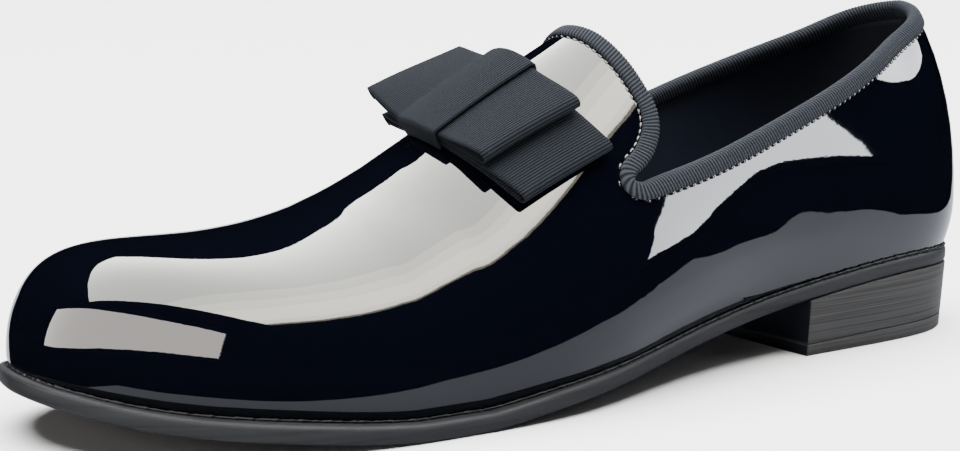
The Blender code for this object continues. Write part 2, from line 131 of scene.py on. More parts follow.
TONGUE_EDGE = (
    EdgePoint(150.4, 0.338), EdgePoint(148.9, 0.361), EdgePoint(145.3, 0.373),
    EdgePoint(141.6, 0.396), EdgePoint(138.8, 0.432), EdgePoint(137.6, 0.484),
    EdgePoint(138.2, 0.550), EdgePoint(139.4, 0.640), EdgePoint(141.0, 0.750),
    EdgePoint(142.5, 0.870), EdgePoint(143.5, 1.000),
)


class Dent(NamedTuple):
    """A soft trough (depth > 0) or ridge (depth < 0) worked into the patent leather.

    It is centred at s and turn on one side, runs at angle (degrees from lengthwise) and fades
    over length and width, in millimetres along the surface.
    """

    s: float
    turn: float
    side: float
    angle: float
    length: float
    width: float
    depth: float


DENTS = (
    Dent(186.0, 0.30, 1.0, 62.0, 34.0, 9.0, 0.35),
    Dent(172.0, 0.12, 1.0, 50.0, 30.0, 8.0, -0.25),
    Dent(205.0, 0.70, 1.0, 80.0, 26.0, 9.0, 0.30),
    Dent(205.0, 0.70, -1.0, 80.0, 26.0, 9.0, 0.30),
    Dent(118.0, 0.05, 1.0, 35.0, 30.0, 9.0, 0.30),
    Dent(112.0, 0.10, -1.0, 35.0, 26.0, 9.0, 0.30),
    Dent(96.0, -0.30, 1.0, 12.0, 34.0, 8.0, -0.20),
)


def spline(
    values: list[float], knots: list[float] | None = None, flat_ends: bool = False
) -> Callable:
    """Make a cubic spline through values.

    Args:
        values: What the spline passes through.
        knots: Where it passes through them, or None for 0, 1, 2 and so on.
        flat_ends: Whether its slope is zero at both ends instead of its bend.

    Returns:
        A function of a number or array.
    """
    y = np.asarray(values, float)
    x = np.arange(len(y), dtype=float) if knots is None else np.asarray(knots, float)
    last = len(x) - 1
    step = np.diff(x)
    slope = np.diff(y) / step
    system = np.eye(len(x))
    right = np.zeros(len(x))
    for i in range(1, last):
        system[i, i - 1 : i + 2] = step[i - 1], 2 * (step[i - 1] + step[i]), step[i]
        right[i] = 6 * (slope[i] - slope[i - 1])
    if flat_ends:
        system[0, :2] = 2 * step[0], step[0]
        right[0] = 6 * slope[0]
        system[last, last - 1 :] = step[-1], 2 * step[-1]
        right[last] = -6 * slope[-1]
    bend = np.linalg.solve(system, right)

    def value(at: np.ndarray) -> np.ndarray:
        """Value of the spline at a place.

        Args:
            at: One place or an array of them.

        Returns:
            An array of the same shape.
        """
        at = np.asarray(at, float)
        i = np.clip(np.searchsorted(x, at) - 1, 0, last - 1)
        back = x[i + 1] - at
        fore = at - x[i]
        straight = y[i] / step[i] * back + y[i + 1] / step[i] * fore
        curve = bend[i] * (back**3 / step[i] - step[i] * back)
        curve = curve + bend[i + 1] * (fore**3 / step[i] - step[i] * fore)
        return straight + curve / 6

    return value


def placed(points: np.ndarray) -> np.ndarray:
    """World coordinates in metres of (s, x, z) points in millimetres.

    Args:
        points: Array of points, with their coordinates on its last axis.

    Returns:
        Array of the same shape.
    """
    points = np.asarray(points, float)
    world = [points[..., 1] - MIDDLE_X, MIDDLE_S - points[..., 0], points[..., 2]]
    return np.stack(world, -1) * MM


def unit(vectors: np.ndarray) -> np.ndarray:
    """Vectors scaled to length one."""
    return vectors / np.maximum(np.linalg.norm(vectors, axis=-1, keepdims=True), 1e-12)


def run_length(points: np.ndarray) -> np.ndarray:
    """Distance run along a line of points, from its first one."""
    steps = np.linalg.norm(np.diff(points, axis=0), axis=1)
    return np.concatenate([[0.0], np.cumsum(steps)])


class Last:
    """The shape of the last: the upper's outer face, the sole's plan and its underside.

    The sections stand across the shoe and fan out round the heel from s = fan. The core is a line
    inside the last, from which a direction is known to point outwards.
    """

    fan = 36.0
    fan_softness = 12.0
    dip_round = 4.6
    dip_rise = 0.42
    sole_thickness = 5.0
    gap = 0.3
    core_height = 20.0
    core_back = 12.0
    nudge = 1e-3
    closer_at_corner = 0.75
    table_steps = 1401
    halvings = 30

    def __init__(self) -> None:
        """Fit a spline to each column of the section table."""
        self.column = {
            name: spline([getattr(row, name) for row in SECTIONS], flat_ends=(name == "s"))
            for name in Section._fields
        }
        self._underside = spline([h.z for h in UNDERSIDE], [h.s for h in UNDERSIDE])
        self._topline = spline([h.z for h in TOPLINE], [h.s for h in TOPLINE])
        self._rows = np.linspace(0, TIP, self.table_steps)
        self._row_s = np.maximum.accumulate(self.column["s"](self._rows))
        self.corner = TONGUE_EDGE[0].s - self.dip_round

    def row_at(self, s: np.ndarray) -> np.ndarray:
        """Row of the section table at a distance from the heel's back."""
        return np.interp(s, self._row_s, self._rows)

    def underside(self, s: np.ndarray) -> np.ndarray:
        """Height of the sole's underside, flat where it presses on the floor."""
        return np.maximum(self._underside(np.clip(s, UNDERSIDE[0].s, UNDERSIDE[-1].s)), 0.0)

    def collar_height(self, s: np.ndarray) -> np.ndarray:
        """Height of the quarters' top line, rising round the corner of the dip.

        Args:
            s: Distance from the heel's back.

        Returns:
            Heights in millimetres.
        """
        past = np.clip(s - self.corner, 0, self.dip_round)
        rise = self.dip_round - np.sqrt(self.dip_round**2 - past**2)
        return self._topline(np.clip(s, 0, self.corner)) + rise * self.dip_rise

    def side_line(self, k: np.ndarray, side: np.ndarray) -> np.ndarray:
        """Sideways place of the widest line at row k: the outer side for side > 0."""
        return np.where(side > 0, self.column["outer"](k), self.column["inner"](k))

    def outline(self, k: np.ndarray, side: np.ndarray, offset: np.ndarray) -> tuple:
        """Plan point (s, x) of the widest line at row k, moved outwards by offset.

        Args:
            k: Row of the section table.
            side: 1 for the outer side, -1 for the inner one.
            offset: How far outwards, in millimetres.

        Returns:
            s and x, as two arrays.
        """
        low = np.clip(k - self.nudge, 0, TIP)
        high = np.clip(k + self.nudge, 0, TIP)
        ds = self.column["s"](high) - self.column["s"](low)
        dx = self.side_line(high, side) - self.side_line(low, side)
        length = np.hypot(ds, dx)
        s = self.column["s"](k) - dx / length * side * offset
        x = self.side_line(k, side) + ds / length * side * offset
        return s, x

    def point(self, k: np.ndarray, turn: np.ndarray, side: np.ndarray) -> np.ndarray:
        """Point (s, x, z) of the upper's outer face.

        Args:
            k: Row of the section table.
            turn: -1 at the feather edge, 0 at the widest line, 1 at the crown and on past it.
            side: 1 for the outer side, -1 for the inner one.

        Returns:
            Array of points; past the crown or the heel's back it carries on down the other side.
        """
        k, turn, side = np.broadcast_arrays(np.asarray(k, float), turn, np.asarray(side, float))
        side = np.where(turn > 1, -side, side)
        turn = np.where(turn > 1, 2 - turn, turn)
        side = np.where(k < 0, -side, side)
        k = np.abs(k)
        wide_s, wide_x = self.outline(k, side, 0.0)
        foot_s, foot_x = self.outline(k, side, -self.column["tuck"](k))
        from_fan = (self.column["s"](k) - self.fan) / self.fan_softness
        centre_s = self.fan + self.fan_softness * np.logaddexp(0, from_fan)
        centre_x = (self.column["outer"](k) + self.column["inner"](k)) / 2
        feather_z = self.underside(self.column["s"](k)) + self.sole_thickness + self.gap
        bulge = self.column["bulge"](k)
        arch = self.column["crown"](k) - bulge
        square = self.column["square"](k)
        angle = np.clip(turn, 0, 1) * np.pi / 2
        out = (np.cos(angle) - square * np.cos(3 * angle)) / (1 - square)
        up = (np.sin(angle) + square * np.sin(3 * angle)) / (1 - square)
        down = np.clip(-turn, 0, 1)
        above = turn >= 0
        low_s = wide_s + (foot_s - wide_s) * down**2
        low_x = wide_x + (foot_x - wide_x) * down**2
        high_x = centre_x + (wide_x - centre_x) * out + self.column["lean"](k) * up**2
        s = np.where(above, centre_s + (wide_s - centre_s) * out, low_s)
        x = np.where(above, high_x, low_x)
        z = np.where(above, feather_z + bulge + arch * up, feather_z + bulge * (1 - down))
        return np.stack([s, x, z], -1)

    def directions(self, k: np.ndarray, turn: np.ndarray, side: np.ndarray) -> tuple:
        """Surface directions per unit of k and of turn, and the outward normal.

        Args:
            k: Row of the section table.
            turn: Turn, as point takes it.
            side: 1 for the outer side, -1 for the inner one.

        Returns:
            Three arrays of vectors.
        """
        nudge = self.nudge
        along = self.point(k + nudge, turn, side) - self.point(k - nudge, turn, side)
        across = self.point(k, turn + nudge, side) - self.point(k, turn - nudge, side)
        normal = unit(np.cross(along, across))
        core_s = np.clip(self.column["s"](np.abs(k)) - self.core_back, self.fan, None)
        core = np.stack(np.broadcast_arrays(core_s + 0 * turn, 0.0, self.core_height), -1)
        inward = np.sum(normal * (core - self.point(k, turn, side)), -1) > 0
        normal = np.where(inward[..., None], -normal, normal)
        return along / (2 * nudge), across / (2 * nudge), normal

    def turn_at_collar(self, k: np.ndarray) -> np.ndarray:
        """Turn at which the shell reaches the quarters' top line, by bisection.

        Args:
            k: Rows of the section table.

        Returns:
            A turn for each row.
        """
        low = np.zeros_like(k)
        high = np.ones_like(k)
        for _ in range(self.halvings):
            middle = (low + high) / 2
            point = self.point(k, middle, 1.0)
            below = point[..., 2] < self.collar_height(point[..., 0])
            low = np.where(below, middle, low)
            high = np.where(below, high, middle)
        return (low + high) / 2

    def tongue_edge(self, steps: int) -> tuple:
        """Rows and turns of the tongue's free edge, from the corner of the dip to the crown.

        Args:
            steps: Number of steps along it.

        Returns:
            An array of rows and one of turns.
        """
        place = np.linspace(0, len(TONGUE_EDGE) - 1, steps + 1)
        along = spline([point.s for point in TONGUE_EDGE], flat_ends=True)(place)
        turn = spline([point.turn for point in TONGUE_EDGE])(place)
        return self.row_at(along), turn

    def quarter_rows(self, corner_steps: int, steps: int) -> np.ndarray:
        """Rows of the quarters from the corner of the dip to the back of the heel.

        Args:
            corner_steps: Steps round the corner of the dip.
            steps: Steps from there to the heel's back.

        Returns:
            Array of rows of the section table.
        """
        bend = np.linspace(0, 1, corner_steps + 1) ** self.closer_at_corner * np.pi / 2
        rounded = self.row_at(self.corner + self.dip_round * np.cos(bend))
        straight = np.linspace(rounded[-1], 0, steps + 1)
        return np.concatenate([rounded, straight[1:]])

    def collar(self, tongue_steps: int, corner_steps: int, quarter_steps: int) -> np.ndarray:
        """The whole collar as (row, turn, side): outer quarter, inner quarter, then the tongue.

        Args:
            tongue_steps: Steps on each half of the tongue's edge.
            corner_steps: Steps round each corner of the dip.
            quarter_steps: Steps on each quarter.

        Returns:
            Array of places, without the first one again at its end.
        """
        k = self.quarter_rows(corner_steps, quarter_steps)
        edge_k, edge_turn = self.tongue_edge(tongue_steps)
        quarter_turn = self.turn_at_collar(k)
        quarter_turn[0] = edge_turn[0]
        outer = np.stack([k, quarter_turn, np.ones_like(k)], -1)
        inner = outer[::-1][1:] * (1, 1, -1)
        tongue_outer = np.stack([edge_k, edge_turn, np.ones_like(edge_k)], -1)
        tongue_inner = tongue_outer[1:-1] * (1, 1, -1)
        return np.concatenate([outer, inner, tongue_inner, tongue_outer[::-1][:-1]])

    def sole_edge(self, k: np.ndarray) -> np.ndarray:
        """How far the sole's edge lies outside the widest line."""
        return self.column["welt"](k) - self.column["tuck"](k)

    def plan(self, rows: np.ndarray, offset: np.ndarray) -> np.ndarray:
        """Closed plan outline of (s, x), down the outer side and back up the inner one.

        Args:
            rows: Rows of the section table, rising.
            offset: How far outside the widest line, in millimetres.

        Returns:
            Array of plan points.
        """
        outer = np.stack(self.outline(rows, 1.0, offset), -1)
        inner = np.stack(self.outline(rows, -1.0, offset), -1)
        return np.concatenate([outer[::-1], inner[1:-1] if rows[-1] == TIP else inner[1:]])

    def sole_top(self, s: np.ndarray) -> np.ndarray:
        """Height of the sole's upper face."""
        return self.underside(s) + self.sole_thickness


LAST = Last()


class Shade(Enum):
    """Measured colours of the shoe's matt materials: the dark one and the light one."""

    # The light colours of the bow ribbon and the tape are painted sheen on their rib crests.
    RIBBON_AND_CREST_SHEEN = ("#08090b", "#24272c")
    TAPE_AND_CREST_SHEEN = ("#020203", "#35383e")
    SOLE = ("#121315", "#26272a")
    HEEL = ("#141414", "#353536")
    # The breast's colours are painted shade under the arch.
    BREAST_SHADE = ("#04060c", "#0b0e17")
    # The crease roll's near black is painted shadow in the corner between upper and sole.
    CREASE_SHADOW = ("#030406", "#0a0b0e")
    LINING = ("#161b29", "#343a4b")
    GRIP = ("#0c111d", "#181e2e")

    def sockets(self) -> dict:
        """Both colours by their socket's number on a node that mixes them."""
        dark, light = self.value
        return {6: linear(dark), 7: linear(light)}


def linear(colour: str) -> tuple:
    """Linear RGBA of an sRGB hex colour such as "#3b3d41".

    Args:
        colour: The sRGB colour.

    Returns:
        Red, green and blue from 0 to 1, and an alpha of 1.
    """
    channels = [int(colour[i : i + 2], 16) / 255 for i in (1, 3, 5)]
    curve = [c / 12.92 if c <= 0.04045 else ((c + 0.055) / 1.055) ** 2.4 for c in channels]
    return (*curve, 1.0)


def add_node(
    material: Material,
    kind: str,
    values: dict | None = None,
    links: dict | None = None,
    **settings: object,
) -> NodeOutputs:
    """Add one shader node.

    Args:
        material: The material whose tree gets the node.
        kind: Blender's name of the node type, without ShaderNode.
        values: Socket name or number to constant.
        links: Socket name or number to the output socket that feeds it.
        **settings: Attributes of the node itself.

    Returns:
        The new node's outputs.
    """
    tree = material.node_tree
    made = tree.nodes.new("ShaderNode" + kind)
    for name, value in settings.items():
        setattr(made, name, value)
    for socket, value in (values or {}).items():
        made.inputs[socket].default_value = value
    for socket, source in (links or {}).items():
        tree.links.new(source, made.inputs[socket])
    return made.outputs


def new_material(name: str, **sockets: object) -> tuple:
    """Make a material with its Principled shader's constants set.

    Args:
        name: The material's name.
        **sockets: Principled socket names, with underscores for spaces, and their values.

    Returns:
        The material and its Principled node.
    """
    made = bpy.data.materials.new(name)
    made.use_nodes = True
    surface = made.node_tree.nodes["Principled BSDF"]
    for socket, value in sockets.items():
        surface.inputs[socket.replace("_", " ")].default_value = value
    return made, surface


def feed(surface: Node, **sources: NodeSocket) -> None:
    """Link outputs to a shader's sockets, named with underscores for spaces."""
    for socket, source in sources.items():
        surface.id_data.links.new(source, surface.inputs[socket.replace("_", " ")])


@dataclass(frozen=True)
class PatentLeather:
    """Calf coated with polyurethane lacquer: near black, mirror gloss, with a slow wave in it."""

    colour: str = "#030409"
    coat_ior: float = 1.4
    coat_roughness: float = 0.02
    lengthwise: float = 0.45
    wave_mm: float = 13.0
    wave_depth_mm: float = 0.08
    grain_mm: float = 1.3
    grain_depth_mm: float = 0.0035

    def build(self) -> Material:
        """Make the material on Object coordinates.

        Returns:
            The finished material.
        """
        made, surface = new_material(
            "patent_leather",
            Base_Color=linear(self.colour),
            Roughness=0.5,
            Specular_IOR_Level=0.0,
            Coat_Weight=1.0,
            Coat_Roughness=self.coat_roughness,
            Coat_IOR=self.coat_ior,
        )
        place = add_node(made, "TexCoord")["Object"]
        scale = {"Scale": (1.0, self.lengthwise, 1.0)}
        stretched = add_node(made, "Mapping", scale, {"Vector": place})["Vector"]
        normals = []
        for size_mm, depth_mm, detail, roughness in (
            (self.wave_mm, self.wave_depth_mm, 2.0, 0.45),
            (self.grain_mm, self.grain_depth_mm, 3.0, 0.6),
        ):
            look = {"Scale": 1 / (size_mm * MM), "Detail": detail, "Roughness": roughness}
            noise = add_node(made, "TexNoise", look, {"Vector": stretched})
            links = {"Height": noise["Fac"]} | ({"Normal": normals[0]} if normals else {})
            depth = {"Strength": 1.0, "Distance": depth_mm * MM}
            normals.append(add_node(made, "Bump", depth, links)["Normal"])
        feed(surface, Normal=normals[0], Coat_Normal=normals[1])
        return made


@dataclass(frozen=True)
class SmoothLeather:
    """Pigmented glove leather, as in linings: satin, with pores and a faint cloud of colour.

    Its real pores are 0.1 to 0.2 mm apart; these are as coarse as it takes to show.
    """

    name: str
    shade: Shade
    roughness: float = 0.5
    specular: float = 0.08
    clouds_per_metre: float = 70.0
    pore_mm: float = 0.5
    pore_depth_mm: float = 0.03

    def build(self) -> Material:
        """Make the material on Object coordinates.

        Returns:
            The finished material.
        """
        made, surface = new_material(
            self.name, Roughness=self.roughness, Specular_IOR_Level=self.specular
        )
        place = add_node(made, "TexCoord")["Object"]
        scale = {"Scale": self.clouds_per_metre, "Detail": 4.0}
        cloud = add_node(made, "TexNoise", scale, {"Vector": place})["Fac"]
        colour = add_node(made, "Mix", self.shade.sockets(), {"Factor": cloud}, data_type="RGBA")
        scale = {"Scale": 1 / (self.pore_mm * MM)}
        pores = add_node(made, "TexVoronoi", scale, {"Vector": place})["Distance"]
        depth = {"Strength": 0.7, "Distance": self.pore_depth_mm * MM}
        bump = add_node(made, "Bump", depth, {"Height": pores})
        feed(surface, Base_Color=colour[2], Normal=bump["Normal"])
        return made


@dataclass(frozen=True)
class Grosgrain:
    """Ribbed rayon ribbon: weft cords under fine warp threads, matt, each rib's crest painted
    lighter as sheen.

    The ribs run across the u of the piece's own UV map, whose unit is 100 mm. Real warp threads
    are about 0.15 mm apart; these are as coarse as it takes to show.
    """

    name: str
    shade: Shade
    rib_mm: float
    rib_depth_mm: float
    slant: float = 0.0
    thread_mm: float = 0.42
    thread_share: float = 0.22
    crest_sheen_share: float = 0.8
    mottle_share: float = 0.35

    def build(self) -> Material:
        """Make the material on the piece's UV map.

        Returns:
            The finished material.
        """
        made, surface = new_material(self.name, Roughness=0.8, Specular_IOR_Level=0.01)
        place = add_node(made, "UVMap", uv_map="ribbon")["UV"]
        split = add_node(made, "SeparateXYZ", links={"Vector": place})
        slanted = self._mixed(made, split["Y"], self.slant, split["X"])
        rib = self._ripple(made, slanted, self.rib_mm)
        thread = self._ripple(made, split["Y"], self.thread_mm)
        scale = {"Scale": 2.0 / (self.thread_mm * UV_PER_MM), "Detail": 2.0}
        fuzz = add_node(made, "TexNoise", scale, {"Vector": place})["Fac"]
        # The ribs' crests take the light colour: painted sheen.
        spread = {"From Min": -1.0, "From Max": 1.0, "To Min": 0.0, "To Max": self.crest_sheen_share}
        shade = add_node(made, "MapRange", spread, {"Value": rib})["Result"]
        mottle_and_sheen = self._mixed(made, fuzz, self.mottle_share, shade)
        colour = add_node(made, "Mix", self.shade.sockets(), {"Factor": mottle_and_sheen}, data_type="RGBA")
        height = self._mixed(made, thread, self.thread_share, rib)
        depth = {"Strength": 1.0, "Distance": self.rib_depth_mm * MM}
        bump = add_node(made, "Bump", depth, {"Height": height})
        feed(surface, Base_Color=colour[2], Normal=bump["Normal"])
        return made

    def _mixed(
        self, made: Material, added: NodeSocket, share: float, onto: NodeSocket
    ) -> NodeSocket:
        """A share of one value added to another."""
        links = {0: added, 2: onto}
        return add_node(made, "Math", {1: share}, links, operation="MULTIPLY_ADD")[0]

    def _ripple(self, made: Material, across: NodeSocket, pitch_mm: float) -> NodeSocket:
        """Sine wave of one pitch along a coordinate.

        Args:
            made: The material.
            across: The coordinate, in units of the UV map.
            pitch_mm: Distance between two crests.

        Returns:
            The wave, from -1 to 1.
        """
        turns = {1: 2 * math.pi / (pitch_mm * UV_PER_MM)}
        phase = add_node(made, "Math", turns, {0: across}, operation="MULTIPLY")
        return add_node(made, "Math", links={0: phase[0]}, operation="SINE")[0]


@dataclass(frozen=True)
class StackedLeather:
    """Leather lifts pressed together, sanded, dyed and waxed: fine level lines, satin."""

    name: str
    shade: Shade
    layer_mm: float
    streak_share: float
    line_depth_mm: float = 0.05
    streaks_per_metre: float = 12.0
    scuffs_per_metre: float = 900.0
    scuff_depth_mm: float = 0.03

    def build(self) -> Material:
        """Make the material on Object coordinates, its lines level.

        Returns:
            The finished material.
        """
        made, surface = new_material(self.name, Roughness=0.5, Specular_IOR_Level=0.06)
        place = add_node(made, "TexCoord")["Object"]
        along = self.streaks_per_metre
        scale = {"Scale": (along, along, 1 / (self.layer_mm * MM))}
        flat = add_node(made, "Mapping", scale, {"Vector": place})["Vector"]
        look = {"Scale": 1.0, "Detail": 5.0, "Roughness": 0.65}
        layers = add_node(made, "TexNoise", look, {"Vector": flat})["Fac"]
        spread = {"From Min": 0.22, "From Max": 0.6, "To Min": 0.0, "To Max": self.streak_share}
        contrast = add_node(made, "MapRange", spread, {"Value": layers})["Result"]
        colours = self.shade.sockets()
        colour = add_node(made, "Mix", colours, {"Factor": contrast}, data_type="RGBA")
        look = {"Scale": self.scuffs_per_metre, "Detail": 3.0}
        scuff = add_node(made, "TexNoise", look, {"Vector": place})["Fac"]
        depth = {"Strength": 0.8, "Distance": self.line_depth_mm * MM}
        lines = add_node(made, "Bump", depth, {"Height": layers})["Normal"]
        depth = {"Strength": 0.5, "Distance": self.scuff_depth_mm * MM}
        bump = add_node(made, "Bump", depth, {"Height": scuff, "Normal": lines})
        feed(surface, Base_Color=colour[2], Normal=bump["Normal"])
        return made


def patch(bm: BMesh, points: np.ndarray, uv: np.ndarray | None = None) -> None:
    """Add a grid and put its vertices on a surface.

    Args:
        bm: The mesh that gets the grid.
        points: Rows x columns x 3 places in metres.
        uv: Rows x columns x 2 map coordinates for the layer called ribbon, or None.
    """
    rows, columns = points.shape[:2]
    made = bmesh.ops.create_grid(bm, x_segments=columns - 1, y_segments=rows - 1, size=1.0)
    number = {}
    for index, vert in enumerate(made["verts"]):
        vert.co = points[index // columns, index % columns]
        number[vert] = index
    if uv is None:
        return
    layer = bm.loops.layers.uv["ribbon"]
    for face in {face for vert in made["verts"] for face in vert.link_faces}:
        for loop in face.loops:
            index = number[loop.vert]
            loop[layer].uv = uv[index // columns, index % columns]


def linked(name: str, data: ID) -> Object:
    """Put data into the scene as an object.

    Args:
        name: The object's name.
        data: Its mesh, light or camera.

    Returns:
        The new object.
    """
    made = bpy.data.objects.new(name, data)
    bpy.context.scene.collection.objects.link(made)
    return made


def to_object(name: str, bm: BMesh, surface: Material) -> Object:
    """Make an object of a bmesh and free the bmesh.

    Args:
        name: Name of the object and of its mesh.
        bm: Its shape.
        surface: Its material.

    Returns:
        The new object.
    """
    mesh = bpy.data.meshes.new(name)
    bm.to_mesh(mesh)
    bm.free()
    mesh.materials.append(surface)
    return linked(name, mesh)


def finish_piece(
    name: str,
    bm: BMesh,
    surface: Material,
    stands_for: tuple = (),
    sharp_from: float | None = None,
) -> Object:
    """Turn a bmesh into a smooth piece that rides with the shoe.

    Args:
        name: The piece's name.
        bm: Its mesh, in metres at its place; freed here.
        surface: Its material.
        stands_for: CAD nodes that it replaces.
        sharp_from: Angle in degrees from which an edge isn't smoothed, or None.

    Returns:
        The new object.
    """
    made = to_object(name, bm, surface)
    made.data.shade_smooth()
    if sharp_from is not None:
        made.data.set_sharp_from_angle(angle=math.radians(sharp_from))
    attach(made, "root")
    if stands_for:
        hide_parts(*stands_for)
    LOG.info("%s: %d faces", name, len(made.data.polygons))
    return made


def finish_ribbon(
    name: str, points: np.ndarray, uv_mm: tuple, surface: Material, replaced: str, wall: tuple
) -> None:
    """Turn rows of points into a ribbon with its map and its wall.

    Args:
        name: The piece's name.
        points: Rows x columns x 3 of (s, x, z).
        uv_mm: Distance of each point across the ribs and along them.
        surface: The ribbon's material.
        replaced: The CAD node that it replaces.
        wall: Its thickness in millimetres, and -1 for a wall inwards or 0 for one on both sides.
    """
    bm = bmesh.new()
    bm.loops.layers.uv.new("ribbon")
    patch(bm, placed(points), np.stack(uv_mm, -1) * UV_PER_MM)
    bmesh.ops.remove_doubles(bm, verts=bm.verts, dist=FINE_WELD)
    bmesh.ops.recalc_face_normals(bm, faces=bm.faces)
    piece = finish_piece(name, bm, surface, (replaced,))
    solid = piece.modifiers.new("wall", "SOLIDIFY")
    solid.thickness = wall[0] * MM
    solid.offset = wall[1]
    solid.use_even_offset = False
    solid.use_quality_normals = True


def weld(bm: BMesh, distance: float = COARSE_WELD) -> None:
    """Join patches at their shared edges and face them outwards.

    Args:
        bm: The patches.
        distance: Points closer than this are joined, in metres.
    """
    bmesh.ops.remove_doubles(bm, verts=bm.verts, dist=distance)
    bmesh.ops.dissolve_degenerate(bm, edges=bm.edges, dist=distance / 5)
    bmesh.ops.recalc_face_normals(bm, faces=bm.faces)


@dataclass
class Upper:
    """Patent upper cut in one with its tongue, and its linings."""

    patent: Material
    lining: Material
    grip: Material
    skin: float = 1.15
    lining_wall: float = 0.55
    lining_depth: float = 1.2
    lining_end: float = 12.0
    grip_reach: float = 92.0
    low_steps: int = 22
    vamp_steps: int = 120
    tongue_steps: int = 14
    edge_steps: int = 48
    quarter_steps: int = 110
    corner_steps: int = 8
    blend_rows: float = 3.0
    tip_rows: float = 1.5
    tip_share: float = 0.5
    tip_margin: float = 0.3
    overlap: float = 1.5
    grip_sunk: float = 0.15

    def build(self) -> None:
        """Build the skin and both linings."""
        bm = self._sheet(0.0, self.skin, TIP)
        finish_piece("patent_upper", bm, self.patent, ("upper",), 50.0)
        for name, surface, keeps_back in (
            ("vamp_lining", self.lining, False),
            ("heel_grip", self.grip, True),
        ):
            bm = self._sheet(self.lining_depth, self.lining_wall, self.lining_end)
            self._cut(bm, keeps_back)
            finish_piece(name, bm, surface)

    def _sheet(self, depth: float, wall: float, end: float) -> BMesh:
        """A closed wall that follows the upper.

        Args:
            depth: How far its outer face lies inside the upper's.
            wall: Its thickness.
            end: Row of the section table at which it stops towards the toe.

        Returns:
            The wall as one welded mesh, both its edges closed.
        """
        edge_k, edge_turn = LAST.tongue_edge(self.edge_steps)
        bm = bmesh.new()
        k = edge_k[0] + (end - edge_k[0]) * np.linspace(0, 1, self.vamp_steps + 1)
        start = np.concatenate([np.linspace(-1, edge_turn[0], self.low_steps + 1), edge_turn[1:]])
        even = np.linspace(-1, 1, len(start))
        blend = np.clip((k - k[0]) / self.blend_rows, 0, 1)[:, None]
        blend = blend * blend * (3 - 2 * blend)
        turn = start + (even - start) * blend
        back = np.linspace(0, 1, self.tongue_steps + 1)[:, None]
        tongue_k = edge_k[0] + (edge_k - edge_k[0]) * back
        quarter_k = LAST.quarter_rows(self.corner_steps, self.quarter_steps)
        top = LAST.turn_at_collar(quarter_k)
        top[0] = edge_turn[0]
        quarter_turn = -1 + (top[:, None] + 1) * np.linspace(0, 1, self.low_steps + 1)
        feather, collar, far = (slice(None), 0), (slice(None), -1), (-1, slice(None))
        closes = end < TIP
        for side in (1.0, -1.0):
            for rows, turns, edges in (
                (k[:, None], turn, (feather, far) if closes else (feather,)),
                (tongue_k, edge_turn, (far,)),
                (quarter_k[:, None], quarter_turn, (feather, collar)),
            ):
                outer = self._face(rows, turns, side, depth)
                inner = self._face(rows, turns, side, depth + wall)
                patch(bm, placed(outer))
                patch(bm, placed(inner))
                for edge in edges:
                    patch(bm, placed(np.stack([outer[edge], inner[edge]])))
        weld(bm)
        return bm

    def _face(self, k: np.ndarray, turn: np.ndarray, side: float, depth: float) -> np.ndarray:
        """Points at a depth under the upper's dented outer face, less at the very tip.

        Args:
            k: Row of the section table.
            turn: Turn, as the last takes it.
            side: 1 for the outer side, -1 for the inner one.
            depth: Depth in millimetres.

        Returns:
            Array of (s, x, z) points.
        """
        k, turn = np.broadcast_arrays(k, turn)
        points = LAST.point(k, turn, side)
        safe = np.minimum(k, TIP - self.tip_margin)
        limit = 1 - LAST.nudge
        normal = LAST.directions(safe, np.clip(turn, -limit, limit), side)[2]
        depth = depth * np.clip((TIP - k) / self.tip_rows, self.tip_share, 1.0)
        for dent in DENTS:
            place = [np.array([value]) for value in (LAST.row_at(dent.s), dent.turn, dent.side)]
            offset = points - LAST.point(*place)[0]
            run, rise = (unit(step[0]) for step in LAST.directions(*place)[:2])
            angle = math.radians(dent.angle)
            forth = run * math.cos(angle) + rise * math.sin(angle)
            beside = -run * math.sin(angle) + rise * math.cos(angle)
            reach = (offset @ forth / dent.length) ** 2 + (offset @ beside / dent.width) ** 2
            depth = depth + dent.depth * np.exp(-reach)
        return points - normal * depth[..., None]

    def _cut(self, bm: BMesh, keeps_back: bool) -> None:
        """Cut the lining's surface across at the heel grip's front edge.

        Args:
            bm: The whole lining.
            keeps_back: Whether the part behind the cut stays, as the grip.
        """
        overlap = self.overlap if keeps_back else -self.overlap
        plane = Vector((0, (MIDDLE_S - self.grip_reach - overlap) * MM, 0))
        bmesh.ops.bisect_plane(
            bm,
            geom=bm.verts[:] + bm.edges[:] + bm.faces[:],
            plane_co=plane,
            plane_no=(0, 1, 0),
            clear_inner=keeps_back,
            clear_outer=not keeps_back,
        )
        if keeps_back:
            for vert in bm.verts:
                vert.co -= vert.normal * self.grip_sunk * MM


